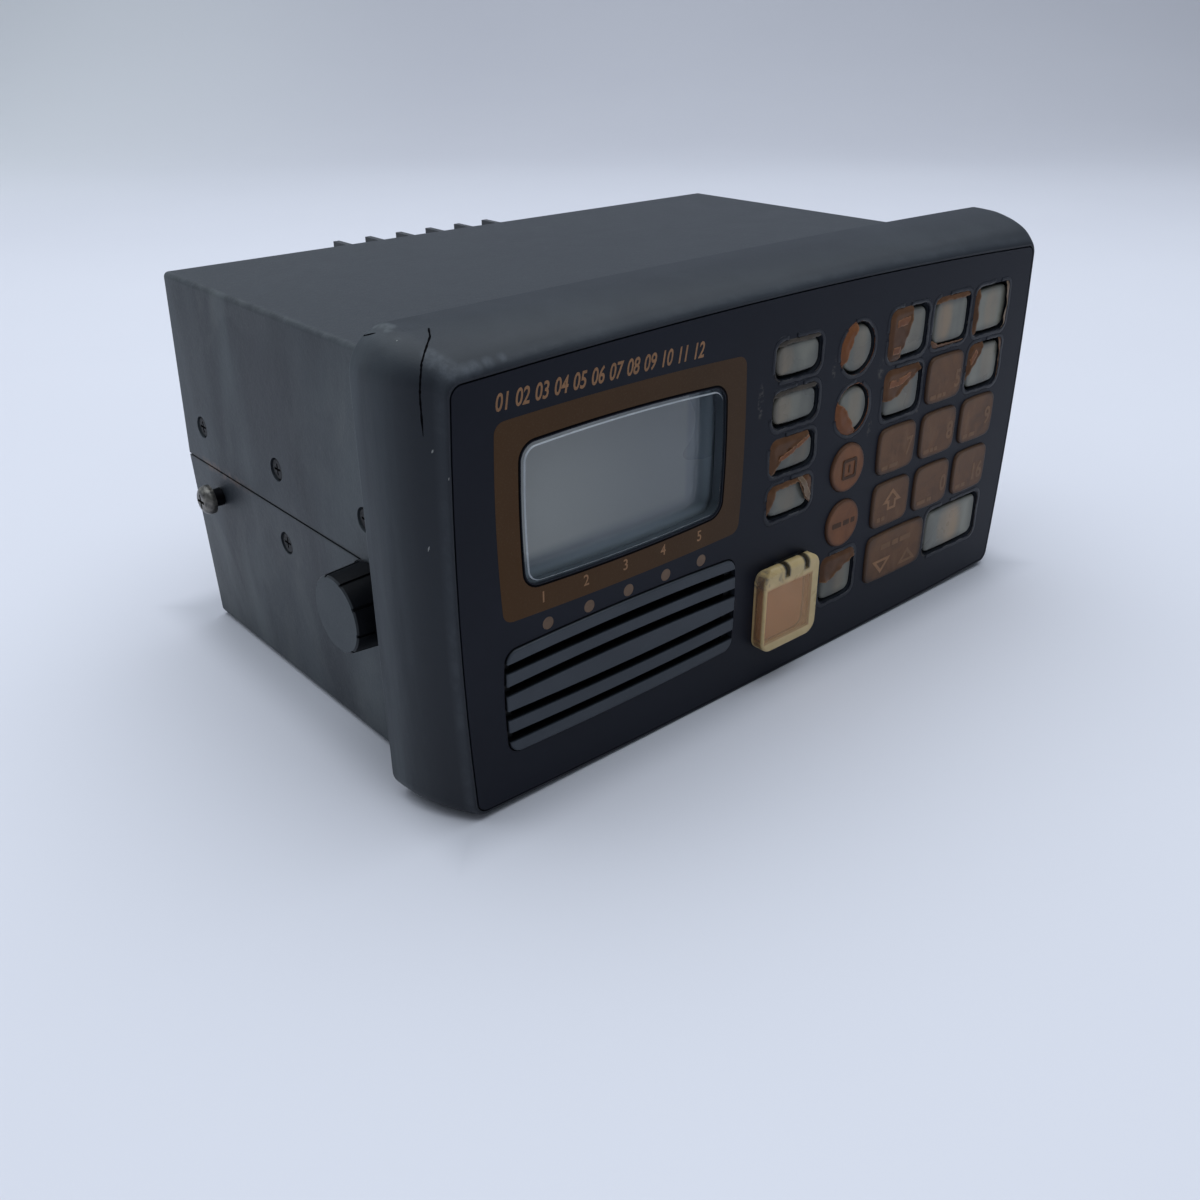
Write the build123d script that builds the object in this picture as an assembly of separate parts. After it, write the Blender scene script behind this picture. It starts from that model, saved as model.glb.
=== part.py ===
from build123d import *
import math
import os

os.makedirs("parts", exist_ok=True)

# Fixed-mount marine VHF set.  Millimetres, +Z up.  While it is drawn, X is across the set, Y = 0 is the face of the
# front overlay and grows towards the rear, and Z = 0 is near the bottom of the case.  Every piece is moved once, at the
# end, so that the row's origin lies at the middle of the bottom of the whole set.

# ---------------------------------------------------------------- driving dimensions
origin_y = -64.10          # moves the drawing so that the box is centred front to back
origin_z = 0.809           # the lowest point of the bezel comes to Z = 0

overlay_half_width = 93.5
overlay_top, overlay_bottom = 93.0, 1.6
overlay_bow_side, overlay_bow_top, overlay_bow_bottom = 1.5, 2.3, 1.45
overlay_thickness = 0.3
overlay_groove = 0.35      # dark joint line between overlay and bezel
plate_back = 3.0           # rear face of the bezel's front plate
bezel_depth = 20.3

case_front, case_rear = 20.3, 124.1
case_bottom, case_seam, case_top = -0.4, 47.4, 93.83
case_half_seam, case_half_edge = 94.6, 93.15
case_wall = 2.2
seam_gap = 0.45

fin_pitch, fin_thickness, fin_tip = 10.0, 1.8, 132.0
fin_first_x = -41.9

key_travel = 0.8
cap_front = 0.15           # face of a cap whose film has worn away
film_cap_front = -0.7      # face of a cap that still carries its embossed film
cap_gap = 0.8              # bare cap to opening, each side
film_gap = 0.12            # film-covered cap to opening, each side
flange_extra = 0.6
flange_front, flange_back, plunger_back = 3.05, 4.05, 5.15

knob_y, knob_z = 34.4, 38.3
knob_face_r, knob_base_r = 8.7, 9.3
knob_seat_x, washer_thickness, knob_face_x = 94.0, 0.8, 103.4
bolt_y, bolt_z = 108.0, 40.1

cover_x0, cover_x1 = -11.1, 8.95
cover_bottom, cover_axis_z, cover_axis_y, cover_barrel_r = 9.1, 29.6, -2.0, 1.8
cover_wall = 0.85

# key positions: name, centre x, centre z, opening width, opening height, kind ("bare" or "film"), shape
left_x, left_z0, left_pitch = -0.45, 81.0, 11.35
round_x, round_z0, round_pitch, round_d = 20.9, 79.0, 14.92, 12.9
grid_x0, grid_z0, grid_px, grid_pz = 40.7, 79.4, 18.02, 14.95
grid_w, grid_h = 15.8, 13.0
left_w, left_h = 16.0, 9.1

keys = []
for k, kind in enumerate(("bare", "bare", "bare", "bare")):
    keys.append((f"key_soft_{k + 1}", left_x, left_z0 - left_pitch * k, left_w, left_h, kind, "pillow"))
for k, kind in enumerate(("bare", "bare", "film", "film")):
    keys.append((f"key_round_{k + 1}", round_x, round_z0 - round_pitch * k, round_d, round_d, kind, "round"))
keys.append(("key_square", 20.9, 19.4, 13.9, 13.3, "bare", "pillow"))
grid_names = (("1", "bare"), ("2", "bare"), ("3", "bare"), ("4", "bare"), ("5", "film"), ("6", "bare"),
              ("7", "film"), ("8", "film"), ("9", "film"), ("shift", "film"), ("0", "film"), ("16", "film"))
for k, (label, kind) in enumerate(grid_names):
    keys.append((f"key_{label}", grid_x0 + grid_px * (k % 3), grid_z0 - grid_pz * (k // 3), grid_w, grid_h, kind, "pillow"))
keys.append(("key_wide_left", 45.1, 19.2, 25.3, 14.2, "film", "pillow"))
keys.append(("key_wide_right", 71.9, 19.2, 25.3, 14.2, "bare", "pillow"))
keys.append(("distress_key", -1.2, 18.1, 16.6, 15.6, "film", "pillow"))

lamp_x0, lamp_pitch, lamp_z, lamp_r = -73.9, 11.06, 39.75, 1.4

bezel_screw_points = [(-88.2, 5.6), (88.2, 5.6), (-88.2, 88.2), (88.2, 88.2)]
board_screw_points = [(-50.0, 86.0), (-14.5, 86.0), (30.0, 88.4), (82.0, 88.4), (30.0, 8.7), (82.0, 8.7), (-14.5, 8.7), (-83.6, 42.5)]
main_post_points = [(-78.0, 32.0), (78.0, 32.0), (-78.0, 104.0), (78.0, 104.0)]
main_board_z = 25.0


# ---------------------------------------------------------------- helpers
def outline(y, xc, hw, zt, zb, bs=0.0, bt=0.0, bb=0.0, r=1.0, rb=None):
    """Closed outline in the plane Y = y: corner points at xc +- hw, sides bowed outward by bs, bt and bb.
    Corners are rounded by r, the lower two by rb if it is given."""
    rb = r if rb is None else rb
    zc, hz = (zt + zb) / 2, (zt - zb) / 2
    top = lambda x: zt + bt * (1 - (x / hw) ** 2)
    bot = lambda x: zb - bb * (1 - (x / hw) ** 2)
    side = lambda z: hw + bs * (1 - ((z - zc) / hz) ** 2)
    P = lambda x, z: Vector(xc + x, y, z)
    a, a_low = hw - r, hw - rb
    zu, zl = zt - r, zb + rb
    edges = []

    def run(p, m, q, bow):
        edges.append(Edge.make_three_point_arc(p, m, q) if abs(bow) > 1e-6 else Edge.make_line(p, q))

    def corner(p, tp, q, tq, r):
        k = 0.5523 * r
        tp, tq = Vector(*tp).normalized(), Vector(*tq).normalized()
        edges.append(Edge.make_bezier(p, p + tp * k, q - tq * k, q))

    st = -2 * bt * a / hw ** 2
    sb = 2 * bb * a_low / hw ** 2
    ss = 2 * bs * (zu - zc) / hz ** 2
    sl = 2 * bs * (zc - zl) / hz ** 2
    tl, tr = P(-a, top(a)), P(a, top(a))
    ru, rl = P(side(zu), zu), P(side(zl), zl)
    br, bl = P(a_low, bot(a_low)), P(-a_low, bot(a_low))
    ll, lu = P(-side(zl), zl), P(-side(zu), zu)
    run(tl, P(0, zt + bt), tr, bt)
    corner(tr, (1, 0, st), ru, (ss, 0, -1), r)
    if (ru - rl).length > 1e-6:
        run(ru, P(hw + bs, zc), rl, bs)
    corner(rl, (-sl, 0, -1), br, (-1, 0, -sb), rb)
    run(br, P(0, zb - bb), bl, bb)
    corner(bl, (-1, 0, sb), ll, (-sl, 0, 1), rb)
    if (ll - lu).length > 1e-6:
        run(ll, P(-hw - bs, zc), lu, bs)
    corner(lu, (ss, 0, 1), tl, (1, 0, -st), r)
    return Wire(edges)


def slab(y0, y1, *args, **kw):
    return extrude(Face(outline(y0, *args, **kw)), amount=y1 - y0, dir=(0, 1, 0))


def box(x0, x1, y0, y1, z0, z1):
    return Pos((x0 + x1) / 2, (y0 + y1) / 2, (z0 + z1) / 2) * Box(x1 - x0, y1 - y0, z1 - z0)


def cyl_y(x, z, r, y0, y1):
    return Pos(x, (y0 + y1) / 2, z) * Rot(90, 0, 0) * Cylinder(r, y1 - y0)


def cyl_x(y, z, r, x0, x1):
    return Pos((x0 + x1) / 2, y, z) * Rot(0, 90, 0) * Cylinder(r, x1 - x0)


def cyl_z(x, y, r, z0, z1):
    return Pos(x, y, (z0 + z1) / 2) * Cylinder(r, z1 - z0)


def mirror_x(shape):
    return mirror(shape, about=Plane.YZ)


parts = {}


def put(name, *shapes):
    solids = []
    for s in shapes:
        solids += list(s.solids())
    parts[name] = solids


def case_half(z):
    if z < case_seam:
        return case_half_edge + (case_half_seam - case_half_edge) * (z - case_bottom) / (case_seam - case_bottom)
    return case_half_seam - (case_half_seam - case_half_edge) * (z - case_seam) / (case_top - case_seam)


def screw(at, outward, head_r=2.55, head_h=0.95, shank_r=1.45, length=8.0, cross=0.55):
    """Cross-head screw: `at` is the middle of the head's outer face."""
    s = Pos(0, 0, -head_h / 2) * Cylinder(head_r, head_h)
    s += Pos(0, 0, -head_h - (length - head_h) / 2 + 0.05) * Cylinder(shank_r, length - head_h + 0.1)
    s = fillet(s.edges().filter_by(GeomType.CIRCLE).sort_by(Axis.Z)[-1], head_h * 0.45)
    s -= Pos(0, 0, -0.3) * Box(head_r * 1.15, cross, 0.7)
    s -= Pos(0, 0, -0.3) * Box(cross, head_r * 1.15, 0.7)
    return Plane(origin=at, z_dir=outward).location * s


# ---------------------------------------------------------------- front bezel
sec_y = (0.0, 0.6, 1.5, 3.2, 5.6, 10.0, 14.7, 20.3)
sec_hw = (94.25, 94.75, 95.35, 96.6, 98.1, 100.1, 101.4, 101.95)
sec_bs = (1.5, 1.45, 1.4, 1.25, 1.1, 0.8, 0.45, 0.1)
sec_zt = (93.8, 94.8, 95.7, 96.95, 98.1, 99.5, 100.4, 100.8)
sec_bt = (2.3, 2.2, 2.1, 1.9, 1.7, 1.35, 1.05, 0.8)
sec_zb = (0.85, 0.55, 0.35, 0.25, 0.25, 0.3, 0.3, 0.3)
sec_bb = (1.45, 1.3, 1.15, 1.05, 1.0, 1.0, 1.0, 1.0)
sec_r = (2.7, 3.1, 3.6, 4.4, 5.4, 6.9, 7.9, 8.6)
sec_rb = (2.6, 2.8, 3.1, 3.5, 3.9, 4.4, 4.8, 5.0)
sec_tables = (sec_y, sec_hw, sec_zt, sec_zb, sec_bs, sec_bt, sec_bb, sec_r, sec_rb)


def table_at(s, v, q):
    """Monotone cubic through the points (s, v), read at q."""
    n = len(s)
    h = [s[i + 1] - s[i] for i in range(n - 1)]
    d = [(v[i + 1] - v[i]) / h[i] for i in range(n - 1)]
    m = [d[0]] + [0.0] * (n - 2) + [d[-1]]
    for i in range(1, n - 1):
        if d[i - 1] * d[i] > 0:
            a, b = 2 * h[i] + h[i - 1], h[i] + 2 * h[i - 1]
            m[i] = (a + b) / (a / d[i - 1] + b / d[i])
    i = next((k for k in range(n - 1) if q <= s[k + 1]), n - 2)
    t = (q - s[i]) / h[i]
    return (v[i] * (1 + 2 * t) * (1 - t) ** 2 + h[i] * m[i] * t * (1 - t) ** 2
            + v[i + 1] * t * t * (3 - 2 * t) + h[i] * m[i + 1] * t * t * (t - 1))


run_length = [0.0]
for k in range(1, len(sec_y)):
    run_length.append(run_length[-1] + math.hypot(sec_y[k] - sec_y[k - 1], sec_zt[k] - sec_zt[k - 1]))
section_count = 14
bezel_sections = []
for k in range(section_count + 1):
    at = [table_at(run_length, table, run_length[-1] * k / section_count) for table in sec_tables]
    bezel_sections.append(outline(at[0], 0, *at[1:]))
bezel = Part() + Solid.make_loft(bezel_sections)
bezel = fillet(bezel.edges().filter_by(lambda e: abs(e.center().Y - bezel_depth) < 0.01), 0.35)

overlay_args = dict(xc=0, hw=overlay_half_width, zt=overlay_top, zb=overlay_bottom,
                    bs=overlay_bow_side, bt=overlay_bow_top, bb=overlay_bow_bottom, r=2.2)
g = overlay_groove
groove_args = dict(xc=0, hw=overlay_half_width + g, zt=overlay_top + g, zb=overlay_bottom - g,
                   bs=overlay_bow_side, bt=overlay_bow_top, bb=overlay_bow_bottom, r=2.5)
bezel -= slab(-1.0, overlay_thickness, **groove_args)
bezel -= slab(0.0, 1.0, **groove_args) - slab(-0.5, 1.5, **overlay_args)
pocket = slab(plate_back, bezel_depth + 1, 0, 90.3, 90.5, 3.3, r=4.0)
bezel -= pocket
for x, z in bezel_screw_points:
    bezel += cyl_y(x, z, 3.1, plate_back - 0.5, bezel_depth) & slab(plate_back - 0.5, bezel_depth, 0, 92, 92, 2.0, r=3)
for x, z in board_screw_points:
    bezel += cyl_y(x, z, 1.9, plate_back - 0.5, 7.2)
    bezel -= cyl_y(x, z, 0.95, plate_back, 7.3)
for x, z in bezel_screw_points:
    bezel -= cyl_y(x, z, 1.45, bezel_depth - 6.5, bezel_depth + 1)
gasket_ring = lambda y0, y1: (slab(y0, y1, 0, 93.0, 93.0, 1.2, r=4.0) - slab(y0 - 0.5, y1 + 0.5, 0, 91.4, 91.4, 2.4, r=3.0))
bezel -= gasket_ring(bezel_depth - 1.0, bezel_depth + 1.0)

window_cut = dict(xc=-51.55, hw=27.4, zt=79.0, zb=49.6, bs=0.5, bt=0.8, bb=0.7, r=3.2)
grille_cut = dict(xc=-51.75, hw=33.35, zt=37.15, zb=12.4, bs=0.6, bt=0.8, bb=0.6, r=2.8)


def opening(y0, y1, key, grow=0.0):
    name, x, z, w, h, kind, shape = key
    if shape == "round":
        return cyl_y(x, z, w / 2 + grow, y0, y1)
    bow = 0.35
    return slab(y0, y1, x, w / 2 + grow - bow, z + h / 2 + grow - bow, z - h / 2 - grow + bow, bow, bow, bow, r=2.3 + grow * 0.5)


cuts = [slab(-2, plate_back + 0.5, **window_cut), slab(-2, plate_back + 0.5, **grille_cut)]
for key in keys:
    cuts.append(opening(-2, plate_back + 0.5, key))
lamp_points = [(lamp_x0 + lamp_pitch * k, lamp_z) for k in range(5)]
for cut in cuts:
    bezel -= cut
for x, z in lamp_points:
    bezel -= cyl_y(x, z, 1.2, -1, plate_back + 0.5)
put("front_bezel", bezel)

# overlay film: one thin sheet with every opening cut through
hinge_cut = (-4.3, 5.0, 28.1, 31.0)
film = slab(0.0, overlay_thickness, **overlay_args)
for cut in cuts:
    film -= cut
for x, z in lamp_points:
    film -= cyl_y(x, z, lamp_r + 0.02, -1, 1)
film -= box(hinge_cut[0], hinge_cut[1], -1, 1, hinge_cut[2], hinge_cut[3])
put("front_overlay", film)

# display window, panel and backlight
lens_front = -0.2
lens = slab(lens_front, plate_back, -51.55, 26.75, 78.35, 50.25, 0.5, 0.8, 0.7, r=2.7)
lens = chamfer(lens.edges().filter_by(lambda e: abs(e.center().Y - lens_front) < 0.01), 0.3)
lens += slab(plate_back, plate_back + 0.8, -51.55, 29.0, 81.2, 47.6, r=2.0)
put("display_window", lens)
put("display_panel", box(-80.3, -22.8, 3.95, 5.75, 48.0, 80.8))
put("display_backlight", box(-80.3, -22.8, 5.85, 7.05, 48.0, 80.8))

# indicator light pipes and lamps
put("indicator_windows", *[cyl_y(x, z, lamp_r, 0.02, overlay_thickness) + cyl_y(x, z, 1.18, overlay_thickness - 0.1, 5.5) for x, z in lamp_points])
put("indicator_lamps", *[box(x - 1.0, x + 1.0, 5.8, 7.2, z - 0.7, z + 0.7) for x, z in lamp_points])

# speaker grille insert: five raised bars with four slots between them
grille_front = -0.6
ga = dict(xc=-51.75, hw=33.0, zt=36.85, zb=12.7, bs=0.6, bt=0.8, bb=0.6, r=2.5)
grille = slab(grille_front, plate_back, **ga)
grille = fillet(grille.edges().filter_by(lambda e: abs(e.center().Y - grille_front) < 0.01), 0.45)
grille += slab(plate_back, plate_back + 0.9, -51.75, 33.5, 37.35, 12.2, 0.5, 0.8, 0.6, r=2.5)
slots = ((31.95, 34.15, 32.45, 34.95), (26.7, 29.1, 27.4, 29.8), (21.0, 23.4, 20.5, 22.8), (15.6, 18.1, 15.3, 17.5))


def slot_shape(lo_end, hi_end, lo_mid, hi_mid, x0, x1, y0, y1):
    xm = -51.75
    e = [Edge.make_three_point_arc(Vector(x0, y0, hi_end), Vector(xm, y0, hi_mid), Vector(x1, y0, hi_end)),
         Edge.make_line(Vector(x1, y0, hi_end), Vector(x1, y0, lo_end)),
         Edge.make_three_point_arc(Vector(x1, y0, lo_end), Vector(xm, y0, lo_mid), Vector(x0, y0, lo_end)),
         Edge.make_line(Vector(x0, y0, lo_end), Vector(x0, y0, hi_end))]
    return extrude(Face(Wire(e)), amount=y1 - y0, dir=(0, 1, 0))


slot_extent = box(-83.2, -20.3, -2.0, 6.0, 0.0, 50.0) + box(-90.0, -10.0, -2.0, 1.4, 0.0, 50.0)
for lo_e, hi_e, lo_m, hi_m in slots:
    grille -= slot_shape(lo_e, hi_e, lo_m, hi_m, -87.0, -16.5, -1.5, 5.0) & slot_extent
put("speaker_grille", grille)

# oval loudspeaker
sp_x, sp_z = -51.75, 24.6
frame_outer = slab(4.2, 12.5, sp_x, 31.5, sp_z + 12.4, sp_z - 12.4, r=12.0)
frame_inner = slab(3.5, 11.2, sp_x, 30.0, sp_z + 10.9, sp_z - 10.9, r=10.6)
put("speaker_frame", frame_outer - frame_inner - cyl_y(sp_x, sp_z, 5.2, 5, 15))
cone_out = Part() + Solid.make_loft([outline(5.0, sp_x, 29.8, sp_z + 10.7, sp_z - 10.7, r=10.4), outline(10.6, sp_x, 8.0, sp_z + 5.0, sp_z - 5.0, r=4.8)])
cone_in = Part() + Solid.make_loft([outline(4.95, sp_x, 29.2, sp_z + 10.1, sp_z - 10.1, r=9.8), outline(10.1, sp_x, 7.4, sp_z + 4.4, sp_z - 4.4, r=4.2)])
cone = cone_out - cone_in - box(-90, -10, 4.0, 5.05, 5, 45)
put("speaker_cone", cone)
put("speaker_magnet", cyl_y(sp_x, sp_z, 12.5, 12.5, 20.5) + cyl_y(sp_x, sp_z, 4.6, 10.8, 12.6))

# keys
for key in keys:
    name, x, z, w, h, kind, shape = key
    gap = cap_gap if kind == "bare" else film_gap
    front = cap_front if kind == "bare" else film_cap_front
    if shape == "round":
        cap = cyl_y(x, z, w / 2 - gap, front, plate_back + 0.1)
    else:
        bow = 0.35
        hw, hh = w / 2 - gap - bow, h / 2 - gap - bow
        cap = slab(front, plate_back + 0.1, x, hw, z + hh, z - hh, bow, bow, bow, r=2.0)
    cap = fillet(cap.edges().filter_by(lambda e: abs(e.center().Y - front) < 0.01), 0.7 if kind == "bare" else 0.55)
    e = flange_extra
    if shape == "round":
        cap += cyl_y(x, z, w / 2 + e, flange_front, flange_back)
    else:
        cap += slab(flange_front, flange_back, x, w / 2 + e, z + h / 2 + e, z - h / 2 - e, r=2.4)
    cap += cyl_y(x, z, 2.0, flange_back - 0.1, plunger_back)
    put(name, cap)

# keypad mat with low pads under each key, and the front circuit board
mat = box(-12.6, 84.6, 6.2, 7.1, 8.0 + 3.2, 87.2) + box(-12.6, 27.2, 6.2, 7.1, 8.0 + 1.6, 30.0)
for x, z in board_screw_points:
    mat -= cyl_y(x, z, 2.1, 5, 8)
for key in keys:
    mat += cyl_y(key[1], key[2], 2.6, 6.0, 6.3)
put("keypad_mat", mat)
board = box(-86.0, 86.4, 7.2, 8.8, 6.2, 90.0) - box(-87.0, -17.6, 7.0, 9.0, 5.0, 38.0)
for x, z in bezel_screw_points:
    board -= cyl_y(x, z, 3.6, 7.0, 9.0)
for x, z in board_screw_points:
    board -= cyl_y(x, z, 1.05, 7.0, 9.0)
put("front_circuit_board", board)
put("bezel_gasket", gasket_ring(bezel_depth - 1.0, bezel_depth))

# distress cover, its hinge base and pin
ears_x = (-3.2, 3.9)
ax_y, ax_z, rb = cover_axis_y, cover_axis_z, cover_barrel_r
hinge = box(hinge_cut[0] + 0.05, hinge_cut[1] - 0.05, 0.0, overlay_thickness, hinge_cut[2] + 0.05, hinge_cut[3] - 0.05)
for x in ears_x:
    ear = box(x - 0.45, x + 0.45, ax_y, 0.1, ax_z - 1.1, ax_z + 1.1) + cyl_x(ax_y, ax_z, 1.1, x - 0.45, x + 0.45)
    hinge += ear
hinge -= cyl_x(ax_y, ax_z, 0.6, -6, 7)
put("cover_hinge_base", hinge)
put("cover_hinge_pin", cyl_x(ax_y, ax_z, 0.6, ears_x[0] - 0.45, ears_x[1] + 0.45))
cover_front, cover_rear = ax_y - rb, ax_y + rb
cover_top = ax_z + rb
cc = (cover_x0 + cover_x1) / 2
ch = (cover_x1 - cover_x0) / 2
cover = slab(cover_front, cover_rear, cc, ch, cover_top, cover_bottom, r=3.6)
cover = fillet(cover.edges().filter_by(lambda e: abs(e.center().Y - cover_front) < 0.01), 0.6)
# side view of the cover: straight walls below the hinge axis, a half round above it
side_view = [Edge.make_line(Vector(-30, cover_front, cover_bottom - 1), Vector(-30, cover_front, ax_z)),
             Edge.make_three_point_arc(Vector(-30, cover_front, ax_z), Vector(-30, ax_y, ax_z + rb), Vector(-30, cover_rear, ax_z)),
             Edge.make_line(Vector(-30, cover_rear, ax_z), Vector(-30, cover_rear, cover_bottom - 1)),
             Edge.make_line(Vector(-30, cover_rear, cover_bottom - 1), Vector(-30, cover_front, cover_bottom - 1))]
cover = cover & extrude(Face(Wire(side_view)), amount=60, dir=(1, 0, 0))
cover -= slab(cover_front + cover_wall, cover_rear + 0.5, cc, ch - cover_wall, ax_z - 2.4, cover_bottom + cover_wall, r=2.8)
cover -= cyl_x(ax_y, ax_z, 0.65, -4.2, 4.9)
for x in ears_x:
    cover -= box(x - 0.7, x + 0.7, cover_front - 0.5, cover_rear + 0.5, ax_z - 1.4, cover_top + 1)
put("distress_cover", cover)


# ---------------------------------------------------------------- case halves
def prism(points, y0, y1):
    return extrude(Face(Wire.make_polygon([Vector(x, y0, z) for x, z in points], close=True)), amount=y1 - y0, dir=(0, 1, 0))


hs, he, w = case_half_seam, case_half_edge, case_wall
z_lo = case_seam - seam_gap / 2
z_hi = case_seam + seam_gap / 2
lower = prism([(-he, case_bottom), (he, case_bottom), (hs, z_lo), (-hs, z_lo)], case_front, case_rear)
lower = fillet(lower.edges().filter_by(Axis.Y).sort_by(Axis.Z)[:2], 1.6)
lower -= prism([(-he + w, case_bottom + w), (he - w, case_bottom + w), (hs - w, z_lo + 1), (-hs + w, z_lo + 1)], case_front - 1, case_rear + 1)
upper = prism([(-he, case_top), (he, case_top), (hs, z_hi), (-hs, z_hi)], case_front, case_rear)
upper = fillet(upper.edges().filter_by(Axis.Y).sort_by(Axis.Z)[-2:], 1.3)
upper -= prism([(-he + w, case_top - w), (he - w, case_top - w), (hs - w, z_hi - 1), (-hs + w, z_hi - 1)], case_front - 1, case_rear + 1)
side_screws = [(34.5, 57.3), (73.4, 57.2), (113.4, 57.1)]
low_screws = [(73.4, 38.7)]
for sx in (-1, 1):
    m = (lambda s: s) if sx > 0 else mirror_x
    # joint lip and screw tabs of the lower half
    lower += m(box(hs - w - 0.9, hs - w + 0.5, case_front + 6, case_rear - 8, 40.0, z_lo)
               + box(hs - w - 0.9, hs - w - 0.1, case_front + 6, case_rear - 8, 40.0, z_lo + 2.0))
    for y, z in side_screws:
        yt = min(y, 112.5)
        lower += m(box(87.0, 92.6, yt - 5.5, yt + 5.5, 32.0, z_lo - 0.4) + box(87.0, 91.6, yt - 5.5, yt + 5.5, 40.0, 62.0))
        lower -= m(cyl_x(y, z, 1.45, 85, 92))
    for y, z in low_screws:
        lower += m(box(86.0, 92.6, y - 4, y + 4, 34.0, 43.0))
        lower -= m(cyl_x(y, z, 1.45, 85, 93) + cyl_x(y, z, 1.6, 91.5, 96) + cyl_x(y, z, 2.8, case_half(z) - 1.25, 97))
    lower += m(cyl_x(knob_y, knob_z, 6.2, 86.2, 93.0))
    lower -= m(cyl_x(knob_y, knob_z, 9.6, knob_seat_x, 97))
    lower -= m(cyl_x(knob_y, knob_z, 3.6, 85, 97))
    lower += m(cyl_x(bolt_y, bolt_z, 4.4, 88.0, 93.0))
    lower -= m(cyl_x(bolt_y, bolt_z, 2.0, 85, 97))
    for y, z in side_screws:
        upper -= m(cyl_x(y, z, 1.6, 90, 97) + cyl_x(y, z, 2.8, case_half(z) - 1.25, 97))
for x, z in bezel_screw_points:
    sgn = 1 if x > 0 else -1
    if z < 40:
        tab = box(84.3, 91.8, case_front, case_front + 3.0, 1.0, 9.6)
        tab = tab if sgn > 0 else mirror_x(tab)
        lower += tab
        lower -= cyl_y(x, z, 1.6, case_front - 1, case_front + 4)
    else:
        tab = box(84.3, 91.8, case_front, case_front + 3.0, 84.2, 92.5)
        tab = tab if sgn > 0 else mirror_x(tab)
        upper += tab
        upper -= cyl_y(x, z, 1.6, case_front - 1, case_front + 4)
for x, y in main_post_points:
    lower += cyl_z(x, y, 3.2, case_bottom + 1.0, main_board_z)
    lower -= cyl_z(x, y, 1.25, main_board_z - 8, main_board_z + 1)
put("upper_case", upper)
put("lower_case", lower)

# ---------------------------------------------------------------- rear heat sink with its sockets' seats
sink = prism([(-91.7 + 1.2, 2.1), (91.7 - 1.2, 2.1), (92.05, 47.4), (91.7 - 1.2, 91.3), (-91.7 + 1.2, 91.3), (-92.05, 47.4)], case_rear - 5.0, case_rear)
tab_gap = prism([(84.0, 30.0), (93, 30.0), (93, 64.0), (84.0, 64.0)], case_rear - 6.0, case_rear - 4.5)
sink -= tab_gap + mirror_x(tab_gap)
for k in range(6):
    x = fin_first_x + fin_pitch * k
    sink += box(x, x + fin_thickness, case_rear - 1, fin_tip, 2.4, case_top - 0.15)
for x in (fin_first_x - 10, fin_first_x + 60, fin_first_x + 70, fin_first_x + 80, fin_first_x + 90):
    sink += box(x, x + fin_thickness, case_rear - 1, fin_tip - 3.2, 2.4, case_top - 1.9)
# the long fins' roots are notched under the case top
sink -= box(-60, 60, case_rear - 5.5, case_rear, case_top - w - 0.15, case_top + 1)
antenna_x, antenna_z = -72.0, 62.0
power_x, power_z = 72.0, 24.0
data_x, data_z = 72.0, 60.0
sink -= cyl_y(antenna_x, antenna_z, 5.6, case_rear - 7, case_rear + 3)
sink -= cyl_y(power_x, power_z, 6.0, case_rear - 7, case_rear + 3)
sink -= cyl_y(data_x, data_z, 8.0, case_rear - 7, case_rear + 3)
put("rear_heat_sink", sink)

flange = slab(case_rear, case_rear + 1.6, antenna_x, 11.0, antenna_z + 11.0, antenna_z - 11.0, r=2.0)
antenna = flange + cyl_y(antenna_x, antenna_z, 7.9, case_rear + 1.5, case_rear + 7.8) + cyl_y(antenna_x, antenna_z, 5.5, case_rear - 9, case_rear + 0.1)
antenna -= cyl_y(antenna_x, antenna_z, 5.6, case_rear + 3.0, case_rear + 9)
antenna += cyl_y(antenna_x, antenna_z, 3.0, case_rear + 2.5, case_rear + 6.5)
antenna -= cyl_y(antenna_x, antenna_z, 1.9, case_rear - 2, case_rear + 9)
for dx in (-8.2, 8.2):
    for dz in (-8.2, 8.2):
        antenna += Pos(antenna_x + dx, case_rear + 1.9, antenna_z + dz) * Rot(90, 0, 0) * Cylinder(1.7, 1.0)
put("antenna_socket", antenna)

gland = cyl_y(power_x, power_z, 5.95, case_rear - 8, case_rear + 0.1) + cyl_y(power_x, power_z, 8.5, case_rear, case_rear + 2.5) + cyl_y(power_x, power_z, 6.6, case_rear + 2.4, case_rear + 7.6)
gland = fillet(gland.edges().filter_by(GeomType.CIRCLE).sort_by(Axis.Y)[-1], 1.0)
gland -= cyl_y(power_x, power_z, 3.5, case_rear - 10, case_rear + 10)
put("power_inlet_gland", gland)

socket = cyl_y(data_x, data_z, 7.95, case_rear - 8, case_rear + 0.1) + cyl_y(data_x, data_z, 10.0, case_rear, case_rear + 2.2) + cyl_y(data_x, data_z, 8.2, case_rear + 2.1, case_rear + 6.6)
socket -= cyl_y(data_x, data_z, 6.6, case_rear + 0.4, case_rear + 8)
for k in range(6):
    a = math.radians(60 * k)
    socket += cyl_y(data_x + 3.6 * math.cos(a), data_z + 3.6 * math.sin(a), 0.6, case_rear + 0.3, case_rear + 4.6)
socket += box(data_x - 0.9, data_x + 0.9, case_rear + 0.3, case_rear + 6.0, data_z - 6.7, data_z - 5.6)
put("data_socket", socket)

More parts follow.
